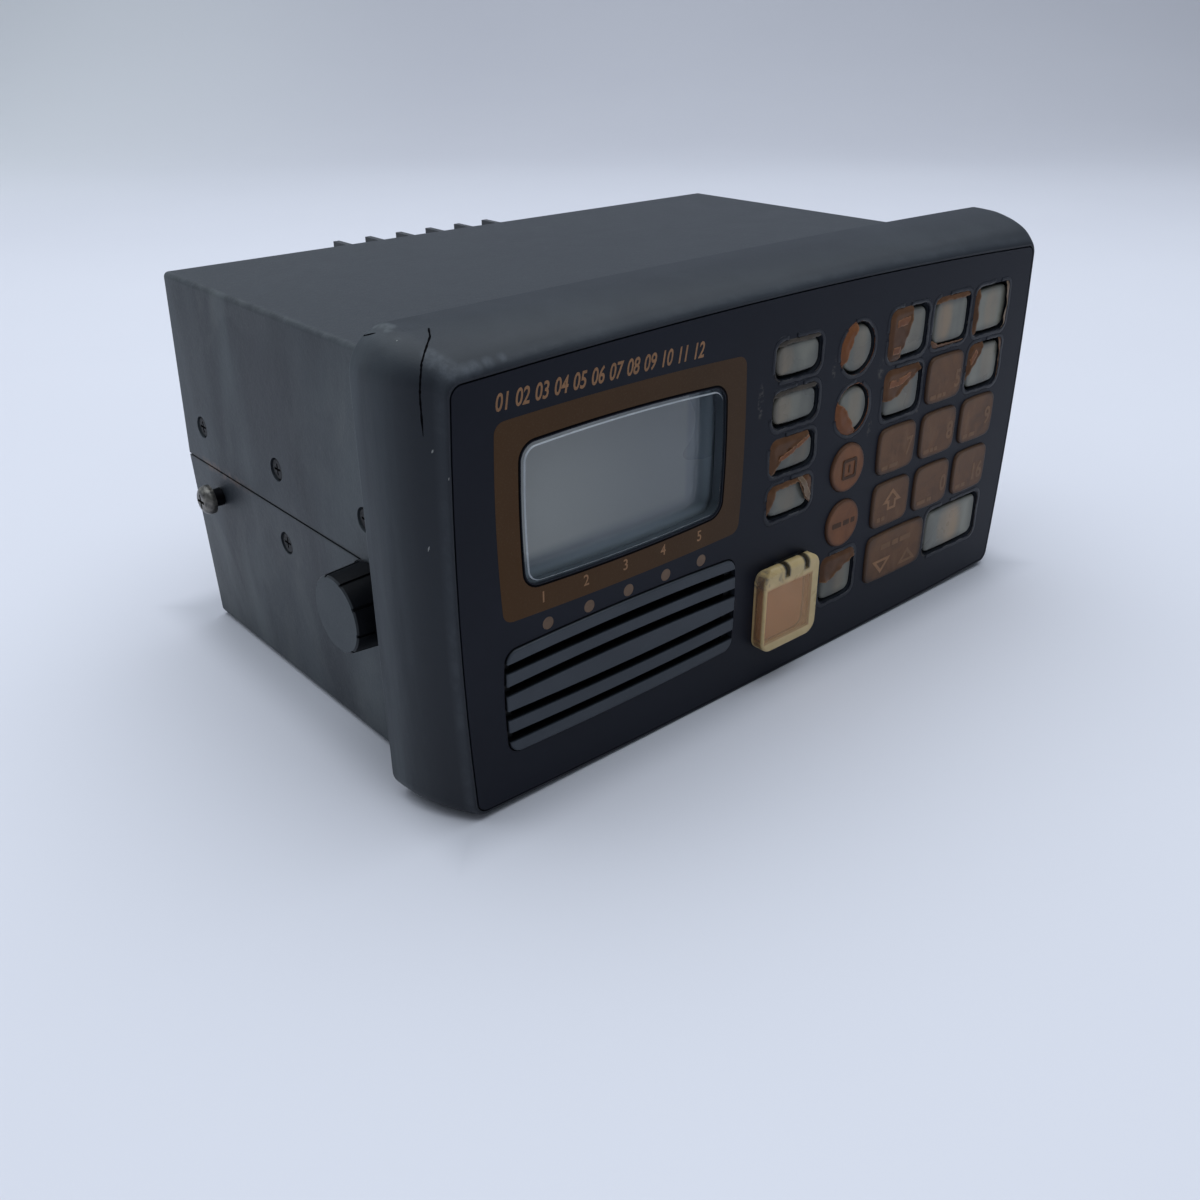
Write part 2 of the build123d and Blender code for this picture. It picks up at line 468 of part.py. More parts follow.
# ---------------------------------------------------------------- inside the case
mb = box(-84.0, 84.0, 26.0, 116.0, main_board_z, main_board_z + 1.6)
for x, y in main_post_points:
    mb -= cyl_z(x, y, 1.25, main_board_z - 1, main_board_z + 3)
put("main_circuit_board", mb)
can = box(-66.0, -8.0, 40.0, 98.0, main_board_z + 1.6, main_board_z + 14.0)
can = fillet(can.edges().filter_by(Axis.Z), 2.0)
can -= box(-65.4, -8.6, 40.6, 97.4, main_board_z + 1.0, main_board_z + 13.4)
put("shield_can", can)
pa = box(10.0, 58.0, case_rear - 13.0, case_rear - 5.0, main_board_z + 3.0, main_board_z + 15.0)
pa += box(4.0, 64.0, case_rear - 7.5, case_rear - 5.0, main_board_z + 3.0, main_board_z + 15.0)
for k in range(5):
    pa += box(16.0 + 8 * k, 16.8 + 8 * k, case_rear - 11.5, case_rear - 10.9, main_board_z + 1.6, main_board_z + 3.2)
put("power_amplifier", pa)

# ---------------------------------------------------------------- fasteners
case_screw_list = []
for y, z in side_screws + low_screws:
    xh = case_half(z) - 0.3
    case_screw_list.append(screw((xh, y, z), (1, 0, 0)))
    case_screw_list.append(screw((-xh, y, z), (-1, 0, 0)))
for x, z in bezel_screw_points:
    case_screw_list.append(screw((x, case_front + 3.95, z), (0, 1, 0)))
put("case_screws", *case_screw_list)
board_screw_list = [screw((x, 8.8 + 0.8, z), (0, 1, 0), head_r=1.8, head_h=0.8, shank_r=0.95, length=5.0, cross=0.4) for x, z in board_screw_points]
board_screw_list += [screw((x, y, main_board_z + 1.6 + 0.9), (0, 0, 1), head_r=2.3, head_h=0.9, shank_r=1.2, length=6.0, cross=0.45) for x, y in main_post_points]
put("board_screws", *board_screw_list)

insert = cyl_x(knob_y, knob_z, 3.6, 86.4, knob_seat_x) - cyl_x(knob_y, knob_z, 2.5, 80, 97)
put("knob_inserts", insert, mirror_x(insert))
bolt_face = 94.35
bolt = cyl_x(bolt_y, bolt_z, 2.0, 88.0, bolt_face + 3.0)
bolt += cyl_x(bolt_y, bolt_z, 2.3, bolt_face + 0.2, bolt_face + 2.95)
head = cyl_x(bolt_y, bolt_z, 3.75, bolt_face + 2.9, bolt_face + 5.7)
head = fillet(head.edges().filter_by(GeomType.CIRCLE).sort_by(Axis.X)[-1], 1.9)
bolt += head
bolt -= box(bolt_face + 4.7, bolt_face + 7, bolt_y - 1.9, bolt_y + 1.9, bolt_z - 0.4, bolt_z + 0.4)
bolt -= box(bolt_face + 4.7, bolt_face + 7, bolt_y - 0.4, bolt_y + 0.4, bolt_z - 1.9, bolt_z + 1.9)
put("bracket_bolts", bolt, mirror_x(bolt))

washer = cyl_x(knob_y, knob_z, 6.0, knob_seat_x, knob_seat_x + washer_thickness) - cyl_x(knob_y, knob_z, 2.65, 90, 98)
knob_base_x = knob_seat_x + washer_thickness
knob_len = knob_face_x - knob_base_x
knob = Cone(knob_base_r, knob_face_r, knob_len)
knob = Pos((knob_face_x + knob_base_x) / 2, knob_y, knob_z) * Rot(0, 90, 0) * knob
knob = chamfer(knob.edges().filter_by(GeomType.CIRCLE).sort_by(Axis.X)[-1], 0.35)
for k in range(9):
    groove = Pos(0, knob_base_r - 0.15, 0) * Box(knob_len + 4, 1.1, 0.75)
    knob -= Pos((knob_face_x + knob_base_x) / 2 - 1.2, knob_y, knob_z) * Rot(40 * k + 32, 0, 0) * Rot(0, 0, -4.0) * groove
knob -= cyl_x(knob_y, knob_z, 2.45, 90, knob_face_x - 3.0)
stud = cyl_x(knob_y, knob_z, 2.45, 87.2, knob_face_x - 3.0)
put("knob_washer_right", washer)
put("clamp_knob_right", knob)
put("knob_stud_right", stud)
put("knob_washer_left", mirror_x(washer))
put("clamp_knob_left", mirror_x(knob))
put("knob_stud_left", mirror_x(stud))

# ---------------------------------------------------------------- move to the row frame and write
shift = Location((0, origin_y, origin_z))
lo = [1e9] * 3
hi = [-1e9] * 3
for name, solids in parts.items():
    moved = [shift * s for s in solids]
    shape = moved[0] if len(moved) == 1 else Compound(children=moved)
    b = shape.bounding_box()
    for i, (l, h) in enumerate(((b.min.X, b.max.X), (b.min.Y, b.max.Y), (b.min.Z, b.max.Z))):
        lo[i], hi[i] = min(lo[i], l), max(hi[i], h)
    export_step(shape, f"parts/{name}.step")
print("nodes", len(parts), "low", [round(v, 3) for v in lo], "high", [round(v, 3) for v in hi])
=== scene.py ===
import math
import random

import bpy
import bmesh
from mathutils import Matrix, Vector
from mathutils.bvhtree import BVHTree


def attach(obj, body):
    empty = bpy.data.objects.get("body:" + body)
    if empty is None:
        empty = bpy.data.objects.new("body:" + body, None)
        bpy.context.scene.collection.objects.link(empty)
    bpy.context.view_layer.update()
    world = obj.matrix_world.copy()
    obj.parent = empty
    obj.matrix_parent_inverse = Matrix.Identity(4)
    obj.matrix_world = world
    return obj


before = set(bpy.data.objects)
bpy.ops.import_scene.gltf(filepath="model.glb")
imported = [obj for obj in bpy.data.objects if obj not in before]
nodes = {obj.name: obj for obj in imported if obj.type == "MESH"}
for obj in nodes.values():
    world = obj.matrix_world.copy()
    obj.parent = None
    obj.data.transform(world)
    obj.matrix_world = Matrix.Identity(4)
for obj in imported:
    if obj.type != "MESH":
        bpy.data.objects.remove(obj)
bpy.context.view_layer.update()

MM = 0.001
SHIFT = Vector((0.0, -64.10, 0.809))     # drawing frame of the set (overlay face at Y = 0) to the row frame, in mm
rng = random.Random(7)


def D(x, y, z):
    """A point of the drawing frame, in mm, as a point of the row frame, in metres."""
    return (Vector((x, y, z)) + SHIFT) * MM


# ------------------------------------------------------------------ camera at the photograph's angle
F_PX, SIDE = 1154.8, 1200.0
az, el, roll = (math.radians(a) for a in (-40.777, 27.584, -0.432))
back = Vector((math.sin(az) * math.cos(el), -math.cos(az) * math.cos(el), math.sin(el)))
cx_ = Vector((0, 0, 1)).cross(back).normalized()
cy_ = back.cross(cx_)
right = cx_ * math.cos(roll) + cy_ * math.sin(roll)
up = cy_ * math.cos(roll) - cx_ * math.sin(roll)
eye = D(-200.69, -163.21, 152.79)
cam_data = bpy.data.cameras.new("camera")
cam = bpy.data.objects.new("camera", cam_data)
bpy.context.scene.collection.objects.link(cam)
cam.matrix_world = Matrix(((right.x, up.x, back.x, eye.x), (right.y, up.y, back.y, eye.y), (right.z, up.z, back.z, eye.z), (0, 0, 0, 1)))
cam_data.sensor_width = 36.0
cam_data.lens = F_PX / SIDE * 36.0
cam_data.clip_start, cam_data.clip_end = 0.01, 30.0
bpy.context.scene.camera = cam


def sight(u, v):
    """Direction from the eye through a place in the 1200 by 1200 frame."""
    return (right * ((u - 600) / F_PX) + up * ((600 - v) / F_PX) - back).normalized()


def tree_of(node):
    me = nodes[node].data
    return BVHTree.FromPolygons([v.co[:] for v in me.vertices], [p.vertices[:] for p in me.polygons])


bezel_tree = tree_of("front_bezel")


def spot(u, v):
    """Place on the bezel, in drawing mm, that is seen at (u, v) of the 1200 by 1200 frame."""
    p, _, _, _ = bezel_tree.ray_cast(eye, sight(u, v))
    return tuple(p / MM - SHIFT)


# places on the bezel's corner that carry a painted highlight
CORNER_HIGHLIGHT = [(spot(u, v), r) for u, v, r in ((430, 354, 2.2), (436, 361, 2.8), (444, 367, 3.2), (453, 371, 3.0), (463, 371, 2.4), (475, 367, 2.0), (488, 362, 1.7), (502, 357, 1.4))]
CORNER_WORN = [(spot(u, v), r) for u, v, r in ((376, 326, 1.3), (384, 325.5, 2.0), (390, 326.5, 1.8), (388, 330, 1.3), (397, 341, 1.2))]

# ------------------------------------------------------------------ materials
class Mat:
    """A small builder for node materials on one Principled shader. Lengths in the textures are in metres."""

    def __init__(self, name, color=(0.5, 0.5, 0.5), rough=0.5, metal=0.0, spec=0.5, coat=0.0, coat_rough=0.1, sheen=0.0):
        self.m = bpy.data.materials.new(name)
        self.m.use_nodes = True
        self.t = self.m.node_tree
        self.t.nodes.clear()
        self.out = self.t.nodes.new("ShaderNodeOutputMaterial")
        self.p = self.t.nodes.new("ShaderNodeBsdfPrincipled")
        self.link(self.p.outputs[0], self.out.inputs[0])
        self.co = self.t.nodes.new("ShaderNodeTexCoord").outputs["Object"]
        self.p.inputs["Base Color"].default_value = (*color, 1)
        self.p.inputs["Roughness"].default_value = rough
        self.p.inputs["Metallic"].default_value = metal
        self.p.inputs["Specular IOR Level"].default_value = spec
        self.p.inputs["Coat Weight"].default_value = coat
        self.p.inputs["Coat Roughness"].default_value = coat_rough
        self._xyz = None
        self.height = None

    def link(self, a, b):
        self.t.links.new(a, b)

    def put(self, socket, value):
        if hasattr(value, "is_output"):
            self.link(value, socket)
        elif isinstance(value, (tuple, list)):
            socket.default_value = (*value, 1) if len(value) == 3 and socket.type == "RGBA" else value
        else:
            socket.default_value = value

    def xyz(self):
        if self._xyz is None:
            n = self.t.nodes.new("ShaderNodeSeparateXYZ")
            self.link(self.co, n.inputs[0])
            self._xyz = n.outputs
        return self._xyz

    def stretch(self, sx, sy, sz):
        n = self.t.nodes.new("ShaderNodeMapping")
        self.link(self.co, n.inputs["Vector"])
        n.inputs["Scale"].default_value = (sx, sy, sz)
        return n.outputs[0]

    def noise(self, scale, detail=3.0, rough=0.55, vec=None, dist=0.0):
        n = self.t.nodes.new("ShaderNodeTexNoise")
        self.link(vec or self.co, n.inputs["Vector"])
        n.inputs["Scale"].default_value = scale
        n.inputs["Detail"].default_value = detail
        n.inputs["Roughness"].default_value = rough
        n.inputs["Distortion"].default_value = dist
        return n.outputs["Fac"]

    def voronoi(self, scale, vec=None, feature="F1", rand=1.0):
        n = self.t.nodes.new("ShaderNodeTexVoronoi")
        n.feature = feature
        self.link(vec or self.co, n.inputs["Vector"])
        n.inputs["Scale"].default_value = scale
        n.inputs["Randomness"].default_value = rand
        return n.outputs["Distance"]

    def math(self, op, a, b=0.0, c=None, clamp=False):
        n = self.t.nodes.new("ShaderNodeMath")
        n.operation = op
        n.use_clamp = clamp
        self.put(n.inputs[0], a)
        self.put(n.inputs[1], b)
        if c is not None:
            self.put(n.inputs[2], c)
        return n.outputs[0]

    def span(self, v, a, b, c=0.0, d=1.0, smooth=False):
        n = self.t.nodes.new("ShaderNodeMapRange")
        n.clamp = True
        if smooth:
            n.interpolation_type = "SMOOTHSTEP"
        self.put(n.inputs[0], v)
        for k, x in zip((1, 2, 3, 4), (a, b, c, d)):
            n.inputs[k].default_value = x
        return n.outputs[0]

    def ramp(self, fac, stops):
        n = self.t.nodes.new("ShaderNodeValToRGB")
        self.link(fac, n.inputs[0])
        e = n.color_ramp.elements
        while len(e) < len(stops):
            e.new(0.5)
        for k, (pos, col) in enumerate(stops):
            e[k].position = pos
            e[k].color = (*col, 1)
        return n.outputs[0]

    def mix(self, fac, a, b):
        n = self.t.nodes.new("ShaderNodeMix")
        n.data_type = "RGBA"
        self.put(n.inputs[0], fac)
        self.put(n.inputs[6], a)
        self.put(n.inputs[7], b)
        return n.outputs[2]

    def attr(self, name):
        n = self.t.nodes.new("ShaderNodeAttribute")
        n.attribute_name = name
        return n.outputs["Fac"]

    def bump(self, *layers):
        """layers: (height, distance in metres, strength)"""
        normal = None
        for h, dist, strength in layers:
            n = self.t.nodes.new("ShaderNodeBump")
            n.inputs["Strength"].default_value = strength
            n.inputs["Distance"].default_value = dist
            self.link(h, n.inputs["Height"])
            if normal is not None:
                self.link(normal, n.inputs["Normal"])
            normal = n.outputs[0]
        self.link(normal, self.p.inputs["Normal"])

    def color(self, c):
        self.put(self.p.inputs["Base Color"], c)

    def rough(self, r):
        self.put(self.p.inputs["Roughness"], r)

    def near(self, x, z, rx, rz):
        """1 at a place on a face that looks along Y (drawing mm), 0 outside the ellipse."""
        o = self.xyz()
        dx = self.math("DIVIDE", self.math("SUBTRACT", o[0], x * MM), rx * MM)
        dz = self.math("DIVIDE", self.math("SUBTRACT", o[2], (z + SHIFT.z) * MM), rz * MM)
        r = self.math("SQRT", self.math("ADD", self.math("MULTIPLY", dx, dx), self.math("MULTIPLY", dz, dz)))
        return self.span(r, 0.4, 1.0, 1.0, 0.0, smooth=True)


def ball(g, place, radius):
    """1 near a place of the drawing frame (mm), fading to 0 at the radius."""
    n = g.t.nodes.new("ShaderNodeVectorMath")
    n.operation = "DISTANCE"
    g.link(g.co, n.inputs[0])
    n.inputs[1].default_value = D(*place)
    return g.span(n.outputs["Value"], radius * 0.25 * MM, radius * MM, 1.0, 0.0, smooth=True)


def case_paint():
    """Dark slate paint on sheet metal: fine texture, dusty patches on the sides, wear at the joint and on the edges."""
    g = Mat("case_paint", rough=0.5, spec=0.28)
    o = g.xyz()
    cloud = g.noise(22, 4, 0.6, dist=0.6)
    streak = g.noise(1.0, 3, 0.5, vec=g.stretch(55, 55, 10), dist=0.4)
    grain = g.noise(2600, 2, 0.5)
    speck = g.noise(900, 3, 0.7)
    side = g.span(g.math("ABSOLUTE", o[0]), 0.0915, 0.0932)
    dust = g.span(g.math("ADD", g.math("MULTIPLY", cloud, 0.4), g.math("MULTIPLY", streak, 0.6)), 0.44, 0.60)
    base = g.mix(g.span(cloud, 0.3, 0.7), (0.0198, 0.0240, 0.0298), (0.0262, 0.0312, 0.0378))
    base = g.mix(g.math("MULTIPLY", g.span(speck, 0.55, 0.75), 0.3), base, (0.070, 0.078, 0.084))
    base = g.mix(g.math("MULTIPLY", g.math("MULTIPLY", dust, side), 0.72), base, (0.070, 0.083, 0.091))
    pools = g.span(g.noise(1.0, 3, 0.6, vec=g.stretch(42, 42, 26), dist=0.8), 0.50, 0.66)
    base = g.mix(g.math("MULTIPLY", g.math("MULTIPLY", pools, side), 0.45), base, (0.088, 0.098, 0.100))
    band = g.span(g.math("ABSOLUTE", g.math("SUBTRACT", o[1], 0.002)), 0.006, 0.030, 1.0, 0.0, smooth=True)
    band = g.math("MULTIPLY", g.math("MULTIPLY", band, side), g.span(o[2], (50.0 + SHIFT.z) * MM, (66.0 + SHIFT.z) * MM, 0.4, 1.0))
    base = g.mix(g.math("MULTIPLY", band, 0.62), base, (0.018, 0.022, 0.029))
    # bare metal and rubbed paint along the joint, strongest near the rear
    dz = g.math("ABSOLUTE", g.math("SUBTRACT", o[2], (47.4 + SHIFT.z) * MM))
    base = g.mix(g.math("MULTIPLY", g.span(dz, 0.00035, 0.0008, 1.0, 0.0), 0.7), base, (0.008, 0.009, 0.011))
    at_joint = g.span(dz, 0.0003, 0.0019, 1.0, 0.0)
    rear = g.math("MULTIPLY", g.span(o[1], 0.022, 0.040), g.span(o[1], 0.057, 0.050, 0.0, 1.0))
    patchy = g.span(g.noise(420, 3, 0.6), 0.42, 0.6)
    wear = g.math("MULTIPLY", g.math("MULTIPLY", at_joint, rear), patchy)
    base = g.mix(g.math("MULTIPLY", wear, 0.7), base, (0.20, 0.135, 0.105))
    # light rub on the upper edges
    top_edge = g.math("MULTIPLY", g.span(o[2], (92.6 + SHIFT.z) * MM, (93.75 + SHIFT.z) * MM), g.span(g.math("ABSOLUTE", o[0]), 0.0918, 0.0930))
    rub = g.math("MULTIPLY", top_edge, g.span(g.noise(260, 4, 0.7), 0.45, 0.7))
    base = g.mix(g.math("MULTIPLY", rub, 0.45), base, (0.13, 0.14, 0.15))
    # hairline scratches
    scratch = g.span(g.voronoi(1.0, vec=g.stretch(34, 90, 420), feature="DISTANCE_TO_EDGE"), 0.0, 0.012, 1.0, 0.0)
    scratch = g.math("MULTIPLY", scratch, g.span(g.noise(35, 2), 0.55, 0.7))
    base = g.mix(g.math("MULTIPLY", scratch, 0.06), base, (0.14, 0.15, 0.16))
    g.color(base)
    g.rough(g.span(g.math("ADD", g.math("MULTIPLY", grain, 0.4), g.math("MULTIPLY", cloud, 0.6)), 0.3, 0.7, 0.40, 0.56))
    g.bump((grain, 0.00007, 0.65), (g.noise(560, 3, 0.6), 0.00014, 0.45))
    return g.m


def bezel_plastic():
    """Dark grey moulded plastic: fine spark-eroded texture, a painted highlight along the front ridge and on the
    corner, dusty rear part of the side, a few scuffs, recess walls painted light grey.
    """
    g = Mat("bezel_plastic", rough=0.5, spec=0.22)
    o = g.xyz()
    cloud = g.noise(16, 4, 0.6, dist=0.5)
    streak = g.noise(1.0, 5, 0.62, vec=g.stretch(90, 120, 12))
    grain = g.noise(3200, 2, 0.5)
    base = g.mix(g.span(cloud, 0.3, 0.7), (0.0132, 0.0158, 0.0212), (0.0190, 0.0226, 0.0290))
    side = g.span(g.math("ABSOLUTE", o[0]), 0.0955, 0.0975)
    # dust gathers towards the rear of the side, the front third stays nearly black
    depth = g.span(o[1], -0.0600, -0.0450, smooth=True)
    dusty = g.math("MULTIPLY", g.math("MULTIPLY", depth, side), g.span(streak, 0.36, 0.62, 0.35, 1.0))
    base = g.mix(g.math("MULTIPLY", dusty, 0.88), base, (0.073, 0.085, 0.095))
    top = g.span(o[2], (93.5 + SHIFT.z) * MM, (97.0 + SHIFT.z) * MM)
    base = g.mix(g.math("MULTIPLY", top, 0.60), base, (0.0195, 0.0245, 0.0315))
    patches = g.span(g.noise(48, 4, 0.65, dist=0.4), 0.45, 0.7)
    base = g.mix(g.math("MULTIPLY", g.math("MULTIPLY", patches, top), 0.22), base, (0.048, 0.056, 0.066))
    # painted highlight along the front ridge: a smooth pale line and a few pale speckles
    ridge = g.math("MULTIPLY", g.span(o[1], -0.0641, -0.0636), g.span(o[1], -0.0618, -0.0630, 0.0, 1.0))
    rub = g.math("MULTIPLY", ridge, g.span(g.noise(150, 4, 0.7), 0.48, 0.66))
    base = g.mix(g.math("MULTIPLY", ridge, 0.16), base, (0.075, 0.085, 0.100))
    base = g.mix(g.math("MULTIPLY", rub, 0.12), base, (0.10, 0.11, 0.125))
    # painted highlight on the corner in front of the long crack, pale worn place at the rear of the corner
    corner_highlight = None
    for place, radius in CORNER_HIGHLIGHT:
        m = ball(g, place, radius)
        corner_highlight = m if corner_highlight is None else g.math("MAXIMUM", corner_highlight, m)
    speckle = g.span(g.noise(700, 4, 0.65), 0.36, 0.66, 0.35, 1.0)
    base = g.mix(g.math("MULTIPLY", g.math("MULTIPLY", corner_highlight, speckle), 0.34), base, (0.120, 0.136, 0.160))
    worn = None
    for place, radius in CORNER_WORN:
        m = ball(g, place, radius)
        worn = m if worn is None else g.math("MAXIMUM", worn, m)
    base = g.mix(g.math("MULTIPLY", g.math("MULTIPLY", worn, g.span(g.noise(420, 4, 0.6), 0.42, 0.60)), 0.36), base, (0.13, 0.145, 0.152))
    dots = g.span(g.voronoi(190), 0.0, 0.075, 1.0, 0.0)
    dots = g.math("MULTIPLY", dots, g.span(g.noise(30, 2), 0.56, 0.62))
    base = g.mix(g.math("MULTIPLY", dots, 0.5), base, (0.22, 0.22, 0.21))
    # the walls of the display recess are painted light grey, painted light that takes away their shade
    recess_fill_light = g.span(o[1], (0.7 + SHIFT.y) * MM, (0.9 + SHIFT.y) * MM)
    for axis, a, b, c, d in ((0, -82.0, -81.0, -22.0, -23.0), (2, 46.0 + SHIFT.z, 47.0 + SHIFT.z, 83.0 + SHIFT.z, 82.0 + SHIFT.z)):
        recess_fill_light = g.math("MULTIPLY", recess_fill_light, g.math("MULTIPLY", g.span(o[axis], a * MM, b * MM), g.span(o[axis], d * MM, c * MM, 1.0, 0.0)))
    base = g.mix(recess_fill_light, base, (0.062, 0.076, 0.089))
    g.color(base)
    g.rough(g.span(g.math("ADD", g.math("MULTIPLY", grain, 0.35), g.math("MULTIPLY", cloud, 0.65)), 0.3, 0.7, 0.42, 0.56))
    g.bump((grain, 0.00005, 0.5), (g.noise(420, 2), 0.00006, 0.2))
    return g.m


def overlay_film():
    """Near-black printed film with a fine matte texture, rubbed pale here and there between the keys."""
    g = Mat("overlay_film", rough=0.42, spec=0.12)
    cloud = g.noise(30, 3, 0.6)
    grain = g.noise(4200, 2, 0.5)
    base = g.mix(g.span(cloud, 0.3, 0.7), (0.0068, 0.0082, 0.0140), (0.0100, 0.0118, 0.0190))
    rub = None
    for x, z, rx, rz in ((49.3, 80.5, 1.2, 4.5), (66.4, 76.3, 1.6, 3.0), (48.4, 58.6, 1.0, 2.4), (-12.5, 73.0, 1.2, 5.0), (31.0, 72.0, 1.6, 3.2),
                         (12.6, 76.0, 1.0, 4.0), (68.0, 61.8, 1.1, 3.2), (28.7, 57.5, 1.1, 2.8)):
        m = g.near(x, z, rx, rz)
        rub = m if rub is None else g.math("MAXIMUM", rub, m)
    broken = g.span(g.noise(700, 4, 0.7), 0.50, 0.62)
    base = g.mix(g.math("MULTIPLY", g.math("MULTIPLY", rub, broken), 0.55), base, (0.13, 0.12, 0.105))
    fine = g.span(g.voronoi(800), 0.0, 0.05, 1.0, 0.0)
    base = g.mix(g.math("MULTIPLY", fine, 0.25), base, (0.08, 0.08, 0.085))
    g.color(base)
    g.rough(g.span(g.math("ADD", g.math("MULTIPLY", grain, 0.5), g.math("MULTIPLY", cloud, 0.5)), 0.3, 0.7, 0.34, 0.48))
    g.bump((grain, 0.00003, 0.4),)
    return g.m


def ridge_film(name, torn):
    """The printed film where it is raised round an opening; its torn inner edge shows the pale carrier."""
    g = Mat(name, rough=0.4, spec=0.2)
    cloud = g.noise(60, 3, 0.6)
    grain = g.noise(4200, 2, 0.5)
    base = g.mix(g.span(cloud, 0.3, 0.7), (0.0085, 0.0100, 0.0155), (0.0125, 0.0145, 0.0215))
    edge = g.math("MULTIPLY", g.attr("tear"), g.span(g.noise(260, 3, 0.65), 0.46, 0.62))
    g.color(g.mix(edge, base, torn))
    g.rough(g.span(g.math("ADD", g.math("MULTIPLY", grain, 0.5), g.math("MULTIPLY", cloud, 0.5)), 0.3, 0.7, 0.32, 0.46))
    g.bump((grain, 0.00003, 0.4),)
    return g.m


def simple(name, low, high, scale, rough=(0.4, 0.5), metal=0.0, grain=2500, grain_depth=0.00003, spec=0.3, coat=0.0, strength=0.4):
    """A plain finish with soft colour variation and a fine grain."""
    g = Mat(name, metal=metal, spec=spec, coat=coat)
    cloud = g.noise(scale, 4, 0.6, dist=0.3)
    fine = g.noise(grain, 2, 0.5)
    g.color(g.mix(g.span(cloud, 0.3, 0.7), low, high))
    g.rough(g.span(fine, 0.3, 0.7, *rough))
    g.bump((fine, grain_depth, strength))
    return g.m


def grille_plastic():
    """Blue-grey moulded bars with a fine texture, painted black down in the slots as painted shade."""
    g = Mat("grille_plastic", rough=0.4, spec=0.3)
    o = g.xyz()
    cloud = g.noise(40, 4, 0.6, dist=0.3)
    fine = g.noise(3200, 2, 0.5)
    base = g.mix(g.span(cloud, 0.3, 0.7), (0.028, 0.034, 0.044), (0.042, 0.050, 0.062))
    # painted shade: near black deep in the slots
    deep = g.span(o[1], -0.06455, -0.06405)
    base = g.mix(deep, base, (0.0025, 0.003, 0.004))
    speck = g.span(g.voronoi(420), 0.0, 0.06, 1.0, 0.0)
    base = g.mix(g.math("MULTIPLY", g.math("MULTIPLY", speck, g.span(g.noise(60, 2), 0.5, 0.6)), 0.5), base, (0.16, 0.16, 0.16))
    g.color(base)
    g.rough(g.span(fine, 0.3, 0.7, 0.36, 0.5))
    g.bump((fine, 0.00004, 0.5))
    return g.m


def brown_print():
    """Brown ink of the display surround, grainier and slightly lighter towards its lower left."""
    g = Mat("brown_print", rough=0.45, spec=0.1)
    cloud = g.noise(45, 4, 0.6, dist=0.5)
    grain = g.noise(4200, 2, 0.5)
    o = g.xyz()
    slope = g.span(g.math("ADD", o[0], g.math("MULTIPLY", o[2], 0.5)), -0.066, 0.010)
    deep = g.mix(slope, (0.064, 0.029, 0.009), (0.052, 0.028, 0.0135))
    base = g.mix(g.math("MULTIPLY", g.span(cloud, 0.3, 0.7), 0.4), deep, (0.076, 0.040, 0.019))
    speck = g.span(g.noise(2400, 2, 0.6), 0.55, 0.7)
    base = g.mix(g.math("MULTIPLY", speck, 0.3), base, (0.10, 0.06, 0.035))
    g.color(base)
    g.rough(g.span(grain, 0.3, 0.7, 0.36, 0.5))
    g.bump((grain, 0.00003, 0.4))
    return g.m


def copper_ink(name="copper_ink", tone=1.0):
    g = Mat(name, rough=0.42, spec=0.15)
    cloud = g.noise(300, 3, 0.6)
    thin = g.span(g.noise(2600, 3, 0.6), 0.3, 0.75)
    base = g.mix(g.span(cloud, 0.3, 0.7), (0.24 * tone, 0.125 * tone, 0.062 * tone), (0.32 * tone, 0.17 * tone, 0.086 * tone))
    g.color(g.mix(g.math("MULTIPLY", thin, 0.35), base, (0.10 * tone, 0.055 * tone, 0.03 * tone)))
    g.rough(g.span(cloud, 0.3, 0.7, 0.36, 0.48))
    g.bump((thin, 0.00002, 0.3))
    return g.m


def key_film(name, low, high, torn=(0.30, 0.21, 0.14), at=None):
    """Embossed printed film over a key: brown or copper ink, pale where it's torn or rubbed; given a place, painted
    shade on the shoulder of the emboss and a painted highlight on the crown's upper left.
    """
    g = Mat(name, rough=0.42, spec=0.14, coat=0.03, coat_rough=0.25)
    cloud = g.noise(160, 4, 0.62, dist=0.6)
    grain = g.noise(3600, 2, 0.5)
    base = g.mix(g.span(cloud, 0.32, 0.68), low, high)
    wear = g.attr("tear")
    edge = g.math("MULTIPLY", g.span(wear, 0.25, 0.9), g.span(g.noise(900, 4, 0.7), 0.36, 0.56))
    base = g.mix(g.math("MULTIPLY", edge, 0.9), base, torn)
    if at:
        # painted shade darkens the film over the shoulder of the emboss, and a faint painted highlight lies over its
        # upper left
        cx, cz, hw, hh = at
        o = g.xyz()
        dx = g.math("DIVIDE", g.math("SUBTRACT", o[0], cx * MM), hw * MM)
        dz = g.math("DIVIDE", g.math("SUBTRACT", o[2], (cz + SHIFT.z) * MM), hh * MM)
        if abs(hw - hh) < 0.2:
            far = g.math("SQRT", g.math("ADD", g.math("MULTIPLY", dx, dx), g.math("MULTIPLY", dz, dz)))
        else:
            far = g.math("POWER", g.math("ADD", g.math("POWER", g.math("ABSOLUTE", dx), 5.0), g.math("POWER", g.math("ABSOLUTE", dz), 5.0)), 0.2)
        far = g.math("ADD", far, g.math("MULTIPLY", g.math("SUBTRACT", g.noise(500, 3, 0.6), 0.5), 0.12))
        base = g.mix(g.math("MULTIPLY", g.span(far, 0.80, 1.02, smooth=True), 0.78), base, (0.010, 0.009, 0.011))
        lit = g.span(g.math("SUBTRACT", dx, dz), -1.6, 0.9, 1.0, 0.0, smooth=True)
        base = g.mix(g.math("MULTIPLY", lit, 0.22), base, torn)
        worn = g.math("MULTIPLY", g.span(g.noise(1.0, 3, 0.6, vec=g.stretch(260, 260, 90)), 0.55, 0.72), g.span(far, 0.95, 0.6))
        base = g.mix(g.math("MULTIPLY", worn, 0.35), base, torn)
    g.color(base)
    g.rough(g.span(g.math("ADD", g.math("MULTIPLY", grain, 0.4), g.math("MULTIPLY", cloud, 0.6)), 0.3, 0.7, 0.32, 0.50))
    g.bump((grain, 0.00003, 0.35), (cloud, 0.0002, 0.18))
    return g.m


